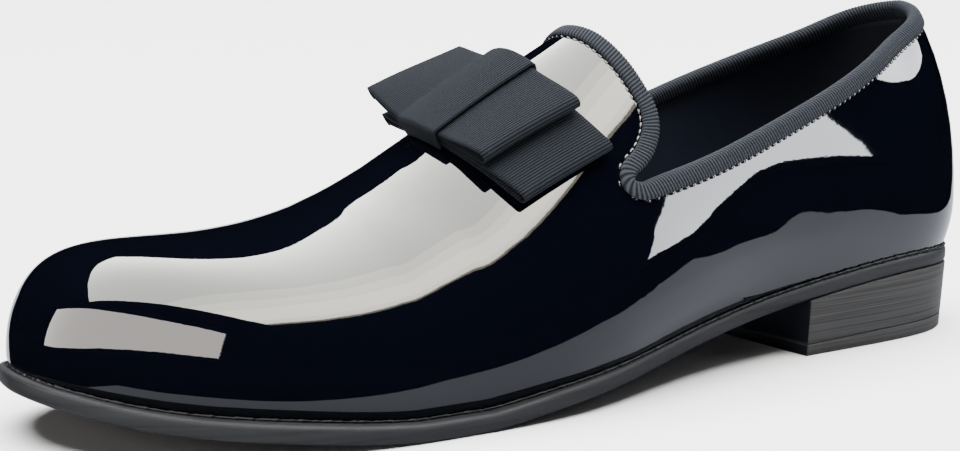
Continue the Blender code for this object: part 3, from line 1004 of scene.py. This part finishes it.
@dataclass
class Binding:
    """Grosgrain tape folded over the whole collar edge, its ribs across the edge.

    legs has the places down either leg, as shares of its depth, the fold's radius and a rib.
    """

    ribbon: Material
    patent: Material
    wall: float = 1.8
    outer_radius: float = 2.05
    leg: float = 3.4
    rib_mm: float = 1.05
    rib_depth: float = 0.17
    samples_a_rib: int = 4
    rib_slant: float = 0.28
    ply: float = 0.45
    legs: tuple = (
        (0.35, 1.0, 1.0), (0.7, 0.97, 1.0), (0.9, 0.86, 0.8), (0.98, 0.66, 0.3), (1.0, 0.46, 0.0)
    )
    pucker_mm: float = 2.6
    pucker_axes: tuple = (1.0, 0.45, 0.26)
    pucker_gap: float = 0.25
    smooth_mm: float = 1.8
    corner_reach: float = 7.0
    corner_slimmer: float = 0.3
    collar_steps: tuple = (70, 12, 200)
    heel_rows: float = 1.0

    def build(self) -> None:
        """Build the tape and the puckers of leather along its lower edge."""
        path = LAST.collar(*self.collar_steps)
        rim = LAST.point(path[:, 0], path[:, 1], path[:, 2])
        length = run_length(np.concatenate([rim, rim[:1]]))
        self._build_tape(path, length)
        self._build_puckers(path, length)

    def _resampled(self, path: np.ndarray, length: np.ndarray, count: int) -> tuple:
        """The collar at evenly spaced places.

        Args:
            path: The collar as (row, turn, side).
            length: Distance run to each of its points, and to the first one again.
            count: How many places.

        Returns:
            Distances run, rows (below 0 past the heel's back), turns (above 1 past the crown)
            and sides.
        """
        at = np.linspace(0, length[-1], count, endpoint=False)
        index = np.clip(np.searchsorted(length, at, side="right") - 1, 0, len(path) - 1)
        share = ((at - length[index]) / (length[index + 1] - length[index]))[:, None]
        start, stop = path[index], path[(index + 1) % len(path)]
        crosses = start[:, 2] != stop[:, 2]
        over_heel = crosses & (np.minimum(start[:, 0], stop[:, 0]) < self.heel_rows)
        over_crown = crosses & ~over_heel
        stop[over_heel, 0] *= -1
        stop[over_crown, 1] = 2 - stop[over_crown, 1]
        k, turn, _ = (start * (1 - share) + stop * share).T
        return at, k, turn, start[:, 2]

    def _frames(self, k: np.ndarray, turn: np.ndarray, side: np.ndarray) -> tuple:
        """Normal, inward direction and its surface steps (row, turn) for places on the collar.

        Args:
            k: Row of each place.
            turn: Turn of each place.
            side: Side of each place.

        Returns:
            Three arrays, with one entry for each place.
        """
        along, across, normal = LAST.directions(k, turn, side)
        rim = LAST.point(k, turn, side)
        tangent = unit(np.roll(rim, -1, 0) - np.roll(rim, 1, 0))
        passes = round(self.smooth_mm / np.linalg.norm(rim[1] - rim[0])) ** 2
        for _ in range(max(passes, 1)):
            tangent = unit(np.roll(tangent, -1, 0) + 2 * tangent + np.roll(tangent, 1, 0))
            normal = unit(np.roll(normal, -1, 0) + 2 * normal + np.roll(normal, 1, 0))
        inward = unit(np.cross(tangent, normal))
        on_outer_quarter = len(rim) // 8
        if inward[on_outer_quarter, 2] > 0:
            inward = -inward
        steps = np.zeros((len(k), 2))
        for i in range(len(k)):
            basis = np.stack([along[i], across[i]], -1)
            steps[i] = np.linalg.lstsq(basis, inward[i], rcond=None)[0]
        return normal, inward, steps

    def _inner_corner(self, path: np.ndarray, length: np.ndarray) -> float:
        """Share of the way round at which the collar meets the dip's inner corner.

        Args:
            path: Places on the collar as (row, turn, side).
            length: Distance run to each of them.

        Returns:
            A share from 0 to 1.
        """
        inner = np.nonzero(path[:, 2] < 0)[0]
        corner = inner[np.argmax(path[inner, 0])]
        return length[corner] / length[-1]

    def _profile(self) -> np.ndarray:
        """Half-open section of the tape's outer face as (depth into the shell, height, rib).

        Returns:
            Array of points, from the tape's outer edge over the fold to its inner one.
        """
        centre = -self.wall / 2
        radius = self.outer_radius
        fold = np.radians(np.linspace(90, -90, 9))
        arc = [(-radius * math.cos(a), centre + radius * math.sin(a), 1.0) for a in fold]
        upper = [(self.leg * d, centre + radius * h, rib) for d, h, rib in self.legs]
        lower = [(self.leg * d, centre - radius * h, rib) for d, h, rib in self.legs]
        return np.array(upper[::-1] + arc + lower)

    def _build_tape(self, path: np.ndarray, length: np.ndarray) -> None:
        """Sweep the tape's section round the collar, with a ridge for each rib.

        Args:
            path: Places on the collar as (row, turn, side).
            length: Distance run to each of them.
        """
        ribs = round(length[-1] / self.rib_mm)
        corners = (0.0, length[-1] * self._inner_corner(path, length), length[-1])
        count = ribs * self.samples_a_rib
        at, k, turn, side = self._resampled(path, length, count)
        normal, inward, steps = self._frames(k, turn, side)
        profile = self._profile()
        middle = np.array([0.0, -self.wall / 2])
        girth = run_length(np.stack([profile[:, 0], profile[:, 1], 0 * profile[:, 0]], -1))
        nearest = np.min(np.abs(at[:, None] - np.array(corners)), axis=1)
        slim = 1 - self.corner_slimmer * np.exp(-((nearest / self.corner_reach) ** 2))
        columns = []
        for (depth, height, rib), around in zip(profile, girth):
            phase = 2 * np.pi * (ribs * at / length[-1] + self.rib_slant * around / self.rib_mm)
            swell = self.rib_depth * rib * np.cos(phase) * slim
            outwards = np.array([min(depth, 0.0), height - middle[1]])
            outwards = outwards / max(np.linalg.norm(outwards), 1e-9)
            sunk = max(depth, 0.0)
            foot = LAST.point(k + steps[:, 0] * sunk, turn + steps[:, 1] * sunk, side)
            lift = height + swell * outwards[1]
            push = min(depth, 0.0) * slim + swell * outwards[0]
            columns.append(foot + inward * np.reshape(push, (-1, 1)) + normal * lift[:, None])
        points = np.stack(columns, 1)
        points = np.concatenate([points, points[:1]])
        u = np.append(at, length[-1])[:, None] + 0 * girth
        v = girth + 0 * u
        # A quarter of a rib brings the sine of the painted crest sheen onto the cosine of the
        # modelled ribs.
        u = u * ribs * self.rib_mm / length[-1] + self.rib_mm / 4
        wall = (self.ply, -1.0)
        finish_ribbon("collar_tape", points, (u, v), self.ribbon, "collar_binding", wall)

    def _build_puckers(self, path: np.ndarray, length: np.ndarray) -> None:
        """Small swellings of leather between the stitches along the tape's outer edge.

        Args:
            path: Places on the collar as (row, turn, side).
            length: Distance run to each of them.
        """
        count = round(length[-1] / self.pucker_mm)
        _, k, turn, side = self._resampled(path, length, count)
        normal, inward, steps = self._frames(k, turn, side)
        sunk = self.leg + self.pucker_gap
        foot = LAST.point(k + steps[:, 0] * sunk, turn + steps[:, 1] * sunk, side)
        tangent = unit(np.cross(normal, inward))
        bm = bmesh.new()
        for i in range(count):
            axes = np.stack([tangent[i], inward[i], normal[i]], -1) * self.pucker_axes
            world = placed(foot[i])
            turned = np.stack([axes[1], -axes[0], axes[2]]) * MM
            matrix = Matrix([[*turned[row], world[row]] for row in range(3)] + [[0, 0, 0, 1]])
            bmesh.ops.create_icosphere(bm, subdivisions=2, radius=1.0, matrix=matrix)
        bmesh.ops.recalc_face_normals(bm, faces=bm.faces)
        finish_piece("binding_puckers", bm, self.patent)


@dataclass
class Sole:
    """Thin leather outsole with a rounded edge, and a crease roll that is black as painted shadow.
    """

    edge: Material
    roll_shadow: Material
    edge_round: float = 1.5
    rows: int = 230
    crease_rows: int = 1000
    crease_out: float = 0.35
    crease_up: float = 0.25
    crease_radius: float = 0.45
    crease_lumps: tuple = ((3.1, 0.16), (1.9, 0.14), (7.3, 0.18))

    def build(self) -> None:
        """Build the outsole and the crease."""
        rows = np.linspace(0, TIP, self.rows)
        rim = LAST.plan(rows, LAST.sole_edge(rows))
        bm = plate(rim, rim, LAST.sole_thickness, self.edge_round, 4)
        bend_plate(bm, LAST.sole_thickness, LAST.underside, LAST.sole_top)
        finish_piece("leather_outsole", bm, self.edge, ("outsole",), 50.0)
        self._build_crease()

    def _build_crease(self) -> None:
        """A thin lumpy roll in the corner between upper and sole, which glints; its near black is
        painted shadow.
        """
        rows = np.linspace(0, TIP, self.crease_rows)
        rim = LAST.plan(rows, self.crease_out - LAST.column["tuck"](rows))
        route = np.column_stack([rim, LAST.sole_top(rim[:, 0]) + self.crease_up])
        tangent = unit(np.roll(route, -1, 0) - np.roll(route, 1, 0))
        beside = unit(np.cross(tangent, (0.0, 0.0, 1.0)))
        above = np.cross(beside, tangent)
        turns = np.radians(np.arange(0, 361, 45))
        run = run_length(route)
        lumps = sum(share * np.sin(run * 2 * np.pi / pitch) for pitch, share in self.crease_lumps)
        radius = (self.crease_radius * (1 + lumps))[:, None]
        spokes = [radius * (beside * math.cos(a) + above * math.sin(a)) for a in turns]
        points = np.stack([route + spoke for spoke in spokes], 1)
        bm = bmesh.new()
        patch(bm, placed(np.concatenate([points, points[:1]])))
        weld(bm, FINE_WELD)
        finish_piece("feather_crease", bm, self.roll_shadow)


@dataclass
class Heel:
    """Low heel of stacked leather lifts on a thin top piece."""

    stack: Material
    breast_shade: Material
    shade_facing_limit: float = 0.9
    length: float = 75.5
    taper: float = 1.2
    edge_round: float = 0.45
    top_piece_height: float = 4.2
    groove: float = 0.06
    seat_gap: float = 0.03
    rows: int = 90

    def build(self) -> None:
        """Build the top piece that meets the floor and the stack over it."""
        height = float(LAST.underside(0.0))
        share = self.top_piece_height / height
        parts = (
            ("heel_top_piece", 0.0, share, ("heel",)),
            ("heel_stack", share + self.groove / height, 1.0, ()),
        )
        for name, low, high, stands_for in parts:
            rows = np.linspace(0, float(LAST.row_at(self.length)), self.rows)
            rims = []
            for level in (low, high):
                rim = LAST.plan(rows, LAST.sole_edge(rows) - self.taper * (1 - level))
                rim[[0, -1], 0] = self.length
                rims.append(rim)
            bm = plate(rims[0], rims[1], height * (high - low), self.edge_round, 2)
            self._stand(bm, low, high, height)
            piece = finish_piece(name, bm, self.stack, stands_for, 40.0)
            # Faces that look towards the toe take a darker material: painted shade on the heel
            # breast under the arch.
            piece.data.materials.append(self.breast_shade)
            for face in piece.data.polygons:
                face.material_index = int(face.normal.y < -self.shade_facing_limit)

    def _stand(self, bm: BMesh, low: float, high: float, height: float) -> None:
        """Bring a flat slice of the heel to its height under the sole.

        Args:
            bm: The slice.
            low: Where it starts, as a share of the heel's height.
            high: Where it ends, as such a share.
            height: The whole heel's height while it is flat.
        """
        for vert in bm.verts:
            s = -vert.co.y
            seat = float(LAST.underside(s)) - self.seat_gap
            share = low + (high - low) * vert.co.z / (height * (high - low))
            vert.co = placed((s, vert.co.x, seat * share))


def plate(
    rim_bottom: np.ndarray,
    rim_top: np.ndarray,
    thickness: float,
    edge_round: float,
    segments: int,
    slice_mm: float = 5.0,
    sharp: float = 0.8,
) -> BMesh:
    """Flat plate between two plan outlines, its edges rounded.

    Args:
        rim_bottom: Outline of (s, x) of the lower face.
        rim_top: Outline of (s, x) of the upper face.
        thickness: Height of the plate.
        edge_round: Radius of its edges.
        segments: Steps of each rounded edge.
        slice_mm: Distance between the cuts across it, at which it can bend.
        sharp: Angle in radians from which an edge is rounded.

    Returns:
        A bmesh whose vertices are (x, -s, z) in millimetres.
    """
    bm = bmesh.new()
    number = bm.verts.layers.int.new("outline_point")
    made = bmesh.ops.create_circle(bm, cap_ends=True, segments=len(rim_bottom), radius=1.0)
    for index, vert in enumerate(made["verts"]):
        vert[number] = index
        vert.co = (rim_bottom[index][1], -rim_bottom[index][0], 0.0)
    raised = bmesh.ops.extrude_face_region(bm, geom=bm.faces[:])
    for item in raised["geom"]:
        if isinstance(item, BMVert):
            s, x = rim_top[item[number]]
            item.co = (x, -s, thickness)
    bmesh.ops.recalc_face_normals(bm, faces=bm.faces)
    bmesh.ops.bevel(
        bm,
        geom=[edge for edge in bm.edges if edge.calc_face_angle(0.0) > sharp],
        offset=edge_round,
        segments=segments,
        profile=0.5,
        affect="EDGES",
        material=-1,
    )
    for s in np.arange(slice_mm, SECTIONS[-1].s, slice_mm):
        everything = bm.verts[:] + bm.edges[:] + bm.faces[:]
        bmesh.ops.bisect_plane(bm, geom=everything, plane_co=(0, -s, 0), plane_no=(0, 1, 0))
    return bm


def bend_plate(bm: BMesh, thickness: float, bottom: Callable, top: Callable) -> None:
    """Bring a flat plate's two faces to their heights, and the plate to its place.

    Args:
        bm: The plate.
        thickness: Its thickness in millimetres.
        bottom: Gives the lower face's height at a distance s.
        top: Gives the upper face's height there.
    """
    for vert in bm.verts:
        s = -vert.co.y
        z = vert.co.z
        height = float(bottom(s)) + z if z < thickness / 2 else float(top(s)) - (thickness - z)
        vert.co = placed((s, vert.co.x, height))


class Loop(NamedTuple):
    """A flattened ribbon loop: its name, its reach to either fold and its inner side's rise."""

    name: str
    outer: float
    inner: float
    lift: float


@dataclass
class Bow:
    """Flat bow of two ribbon loops under a centre band, its inner side standing off the vamp."""

    ribbon: Material
    lower: Loop = Loop("bow_lower_loop", 40.0, 31.0, 10.0)
    upper: Loop = Loop("bow_upper_loop", 27.0, 24.5, 7.0)
    width: float = 32.0
    thickness: float = 0.7
    middle: float = 175.5
    shift: float = 1.0
    turned: float = 0.13
    sweep: float = 0.0083
    opening: float = 2.6
    pinch: float = 0.4
    band_width: float = 19.5
    band_corner: float = 1.0
    clearance: float = 0.5
    reach: tuple = (140.0, 222.0)
    stations: int = 25

    def __post_init__(self) -> None:
        """Measure the ridge of the vamp under the bow."""
        first, last = (float(LAST.row_at(s)) for s in self.reach)
        self._rows = np.linspace(first, last, 300)
        ridge = LAST.point(self._rows, 1.0, 1.0)
        length = run_length(ridge)
        self._length = length - np.interp(self.middle, ridge[:, 0], length)
        self._turns = np.linspace(1, 0, 120)

    def build(self) -> None:
        """Build both loops and the band."""
        for loop in (self.lower, self.upper):
            self._build_loop(loop)
        self._build_band()

    def drape(self, across: float, along: np.ndarray, height: float) -> np.ndarray:
        """Points over the vamp, for one distance across and several along the shoe.

        Args:
            across: Distance across the shoe from the bow's middle.
            along: Distances along the shoe from the bow's middle.
            height: Height over the vamp.

        Returns:
            Array of (s, x, z) points.
        """
        swept = along + self.turned * across - self.sweep * across**2
        k = np.interp(swept, self._length, self._rows)
        place = across + self.shift
        side = 1.0 if place >= 0 else -1.0
        arches = LAST.point(k[:, None], self._turns[None, :], side)
        turn = np.array([np.interp(abs(place), run_length(arch), self._turns) for arch in arches])
        normal = LAST.directions(k, turn, np.full_like(k, side))[2]
        return LAST.point(k, turn, side) + normal * height

    def free_length(self, across: float, loop: Loop) -> float:
        """Share of the way from the band's edge to the loop's fold, on either side."""
        reach = loop.outer if across > 0 else loop.inner
        return max(abs(across) - self.band_width / 2, 0.0) / (reach - self.band_width / 2)

    def gap(self, across: float, loop: Loop) -> float:
        """Distance between a loop's two layers, pinched under the band and open at the fold."""
        t = min(self.free_length(across, loop), 1.0)
        return self.thickness + self.pinch + (self.opening - self.pinch) * t * t * (3 - 2 * t)

    def base(self, across: float, loop: Loop) -> float:
        """Height of a loop's bottom layer; the upper loop lies on the lower one.

        Args:
            across: Distance across the shoe from the bow's middle.
            loop: The loop.

        Returns:
            Height over the vamp.
        """
        rise = self.lower.lift * self.free_length(across, self.lower) ** 2 if across < 0 else 0.0
        height = self.clearance + self.thickness / 2 + rise
        if loop is self.upper:
            height += self.gap(across, self.lower) + self.thickness + 2 * self.clearance
            height += loop.lift * self.free_length(across, loop) ** 2 if across < 0 else 0.0
        return height

    def _loop_path(self, loop: Loop) -> list:
        """Closed path of (across, height) round a flattened loop.

        Args:
            loop: The loop.

        Returns:
            List of points, without the first one again at its end.
        """
        radius = self.gap(loop.outer, loop) / 2
        outer_end = loop.outer - radius
        inner_end = radius - loop.inner
        layer = np.linspace(inner_end, outer_end, 70)
        fold = np.linspace(0, np.pi, 11)[1:-1]
        path = [(u, self.base(u, loop)) for u in layer]
        rise = self.base(outer_end, loop) + radius
        path += [(outer_end + radius * math.sin(a), rise - radius * math.cos(a)) for a in fold]
        path += [(u, self.base(u, loop) + self.gap(u, loop)) for u in layer[::-1]]
        rise = self.base(inner_end, loop) + radius
        path += [(inner_end - radius * math.sin(a), rise + radius * math.cos(a)) for a in fold]
        return path

    def _ribbon(
        self, name: str, rows: np.ndarray, stations: np.ndarray, ribs_run_down: bool
    ) -> None:
        """Finish rows of points as a piece called as the CAD node is, with _ribbon added.

        Args:
            name: The CAD node's name.
            rows: Points of the ribbon's middle surface, rows x columns x 3.
            stations: Distance of each column.
            ribs_run_down: Whether the ribs run along the columns' direction.
        """
        length = run_length(rows[:, rows.shape[1] // 2])
        down = length[:, None] + 0 * stations
        across = stations + 0 * down
        uv_mm = (down, across) if ribs_run_down else (across, down)
        wall = (self.thickness, 0.0)
        finish_ribbon(name + "_ribbon", rows, uv_mm, self.ribbon, name, wall)

    def _build_loop(self, loop: Loop) -> None:
        """One flattened ribbon loop.

        Args:
            loop: The loop to build.
        """
        stations = np.linspace(-self.width / 2, self.width / 2, self.stations)
        path = self._loop_path(loop)
        rows = np.array([self.drape(u, stations, h) for u, h in path + path[:1]])
        self._ribbon(loop.name, rows, stations, True)

    def _build_band(self) -> None:
        """Centre band over both loops, its two ends turned down beside them."""
        top = self.base(0, self.upper) + self.gap(0, self.upper) + self.thickness + self.clearance
        edge = self.width / 2 + self.clearance + self.thickness / 2
        corner = self.band_corner
        half = [(-edge, h) for h in np.linspace(self.clearance, top - corner, 8)[:-1]]
        for a in np.radians(np.linspace(0, 90, 7)):
            half.append((-edge + corner * (1 - math.cos(a)), top - corner * (1 - math.sin(a))))
        half += [(v, top) for v in np.linspace(corner - edge, 0, 14)[1:]]
        path = half + [(-v, h) for v, h in half[-2::-1]]
        stations = np.linspace(-self.band_width / 2, self.band_width / 2, self.stations)
        columns = []
        for u in stations:
            along = np.array([v for v, _ in path])
            base = self.drape(u, along, 0.0)
            over = self.drape(u, along, 1.0) - base
            columns.append(base + over * np.array([h for _, h in path])[:, None])
        rows = np.stack(columns, 1)
        self._ribbon("bow_band", rows, stations, False)


class Card(NamedTuple):
    """A softbox seen in the leather: its place, aim, size and power, and its turn in degrees."""

    name: str
    place: tuple
    aim: tuple
    width: float
    height: float
    power: float
    spin: float
    colour: str


class Flag(NamedTuple):
    """A cloth on the floor that only reflections see.

    x and y are a point of its edge, degrees its turn, and slide moves it along that edge by as
    many halves of its size.
    """

    x: float
    y: float
    degrees: float
    colour: str
    slide: float = 0.0


WARM, CREAM, ROSY, COOL = "#fbfbf4", "#fff8dc", "#fff8f2", "#f4f6fb"


@dataclass
class Studio:
    """Pale floor, soft light and the camera, which are not part of the shoe."""

    azimuth: float = 33.95
    elevation: float = 9.29
    roll: float = 0.195
    distance: float = 0.5396
    focal_px: float = 1949.7
    image_width: int = 960
    sideways: float = 0.0172
    upwards: float = -0.00104
    target: tuple = (0.0, 0.0, 0.04)
    sensor_mm: float = 36.0
    cards: tuple = (
        Card("overhead", (-0.07, 0.03, 1.45), (-0.07, 0.03, 0.0), 2.25, 2.6, 450.0, 38.0, WARM),
        Card("wide_strip", (0.50, 0.48, 1.44), (0.50, 0.48, 0.0), 0.90, 2.6, 42.0, 38.0, CREAM),
        Card("middle_strip", (0.53, 0.50, 1.43), (0.53, 0.50, 0.0), 0.62, 2.6, 28.0, 38.0, CREAM),
        Card("narrow_strip", (0.56, 0.52, 1.42), (0.56, 0.52, 0.0), 0.34, 2.6, 15.0, 38.0, CREAM),
        Card("toe", (0.38, -1.65, 0.56), (0.0, -0.10, 0.03), 3.7, 1.02, 200.0, 0.0, ROSY),
        Card("heel", (1.16, 1.57, 0.62), (0.03, 0.08, 0.05), 0.32, 1.05, 26.0, 0.0, COOL),
        Card("collar", (0.64, 1.59, 1.03), (0.03, 0.08, 0.07), 0.55, 0.75, 32.0, 0.0, COOL),
    )
    flags: tuple = (
        Flag(-12.0, 0.0, 0.0, "#a2a6ad"),
        Flag(0.082, -0.030, 21.0, "#050506"),
        Flag(0.092, 0.225, 232.0, "#050506", -1.0),
        Flag(0.0, -0.158, 90.0, "#050506"),
    )
    flag_size: float = 12.0
    flag_step: float = 0.0002
    floor_size: float = 9.0
    fill_energy: float = 16.0
    fill_angle: float = 70.0
    world_colour: tuple = (0.004, 0.004, 0.005, 1.0)

    def build(self) -> None:
        """Build the floor, the flags, the lights and the camera."""
        self._build_floor()
        self._build_flags()
        self._build_lights()
        self._build_camera()

    def _sheet(
        self, name: str, cover: str, size: float, place: Matrix, **sockets: object
    ) -> Object:
        """Stage a level square sheet of one matt material.

        Args:
            name: The sheet's name.
            cover: Its material's name.
            size: Half its width in metres.
            place: Where it lies.
            sockets: The material's values.

        Returns:
            The new object.
        """
        bm = bmesh.new()
        bmesh.ops.create_grid(bm, x_segments=1, y_segments=1, size=size, matrix=place)
        made = to_object(name, bm, new_material(cover, **sockets)[0])
        return made

    def _build_floor(self) -> None:
        """A wide matt floor."""
        look = {"Base_Color": linear("#f4f4f3"), "Roughness": 0.9}
        self._sheet("floor", "floor_paper", self.floor_size, Matrix(), **look)

    def _build_flags(self) -> None:
        """Grey and black cloths on the floor, there for the reflections alone."""
        size = self.flag_size
        for number, flag in enumerate(self.flags, 1):
            edge = Matrix.Translation((flag.x, flag.y, self.flag_step * number))
            turn = Matrix.Rotation(math.radians(90 - flag.degrees), 4, "Z")
            slide = Matrix.Translation((flag.slide * size, -size, 0.0))
            place = edge @ turn @ slide
            look = {"Base_Color": linear(flag.colour), "Roughness": 1.0, "Specular_IOR_Level": 0.0}
            names = f"floor_flag_{number}", f"flag_cloth_{number}"
            cloth = self._sheet(*names, size, place, **look)
            cloth.visible_camera = False
            cloth.visible_diffuse = False
            cloth.visible_shadow = False

    def _build_lights(self) -> None:
        """An even light from above for the floor, and the softboxes that the leather shows."""
        world = bpy.data.worlds.new("studio")
        world.use_nodes = True
        world.node_tree.nodes["Background"].inputs["Color"].default_value = self.world_colour
        bpy.context.scene.world = world
        fill = bpy.data.lights.new("overhead_fill", "SUN")
        fill.energy = self.fill_energy
        fill.angle = math.radians(self.fill_angle)
        linked(fill.name, fill).visible_glossy = False
        for card in self.cards:
            light = bpy.data.lights.new(card.name + "_card", "AREA")
            light.shape = "RECTANGLE"
            light.size = card.width
            light.size_y = card.height
            light.energy = card.power
            light.color = linear(card.colour)[:3]
            box = linked(light.name, light)
            box.visible_diffuse = False
            box.location = card.place
            facing = (Vector(card.aim) - Vector(card.place)).to_track_quat("-Z", "Y").to_matrix()
            spin = Matrix.Rotation(math.radians(card.spin), 3, "Z")
            box.rotation_euler = (facing @ spin).to_euler()

    def _build_camera(self) -> None:
        """A camera at the photo's angle."""
        turn = math.radians(self.azimuth)
        tilt = math.radians(self.elevation)
        lean = math.radians(self.roll)
        out = math.cos(tilt)
        back = Vector((out * math.cos(turn), -out * math.sin(turn), math.sin(tilt)))
        level = Vector((0, 0, 1)).cross(back).normalized()
        upright = back.cross(level)
        right = math.cos(lean) * level + math.sin(lean) * upright
        up = math.cos(lean) * upright - math.sin(lean) * level
        place = Vector(self.target) + self.distance * back
        place -= self.sideways * right + self.upwards * up
        data = bpy.data.cameras.new("camera")
        data.sensor_width = self.sensor_mm
        data.lens = self.focal_px / self.image_width * self.sensor_mm
        data.clip_start = 0.02
        camera = linked("camera", data)
        axes = Matrix((right, up, back)).transposed().to_4x4()
        camera.matrix_world = Matrix.Translation(place) @ axes
        bpy.context.scene.camera = camera


def dress_insole(surface: Material) -> None:
    """Give the CAD insole its leather.

    Args:
        surface: The leather.
    """
    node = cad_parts["insole"]
    node.data.materials.clear()
    node.data.materials.append(surface)


def main() -> None:
    """Build every sub-assembly in order, then the studio."""
    logging.basicConfig(level=logging.INFO)
    patent = PatentLeather().build()
    lining = SmoothLeather("lining_leather", Shade.LINING).build()
    grip = SmoothLeather("heel_grip_leather", Shade.GRIP, roughness=0.6).build()
    # The crease roll is near black as painted shadow.
    roll_shadow = SmoothLeather("crease_painted_shadow", Shade.CREASE_SHADOW, roughness=0.35).build()
    # The heel breast is darker as painted shade.
    breast_shade = SmoothLeather("heel_breast_painted_shade", Shade.BREAST_SHADE).build()
    bow_ribbon = Grosgrain("bow_grosgrain", Shade.RIBBON_AND_CREST_SHEEN, rib_mm=0.75, rib_depth_mm=0.11).build()
    tape = Grosgrain(
        "binding_grosgrain", Shade.TAPE_AND_CREST_SHEEN, Binding.rib_mm, rib_depth_mm=0.04, slant=Binding.rib_slant
    ).build()
    sole = StackedLeather(
        "sole_edge", Shade.SOLE, layer_mm=1.6, streak_share=0.7, line_depth_mm=0.02
    ).build()
    heel = StackedLeather("heel_stack", Shade.HEEL, layer_mm=0.42, streak_share=1.0).build()
    Upper(patent, lining, grip).build()
    Binding(tape, patent).build()
    Sole(sole, roll_shadow).build()
    Heel(heel, breast_shade).build()
    Bow(bow_ribbon).build()
    dress_insole(lining)
    Studio().build()


if __name__ == "__main__":
    main()
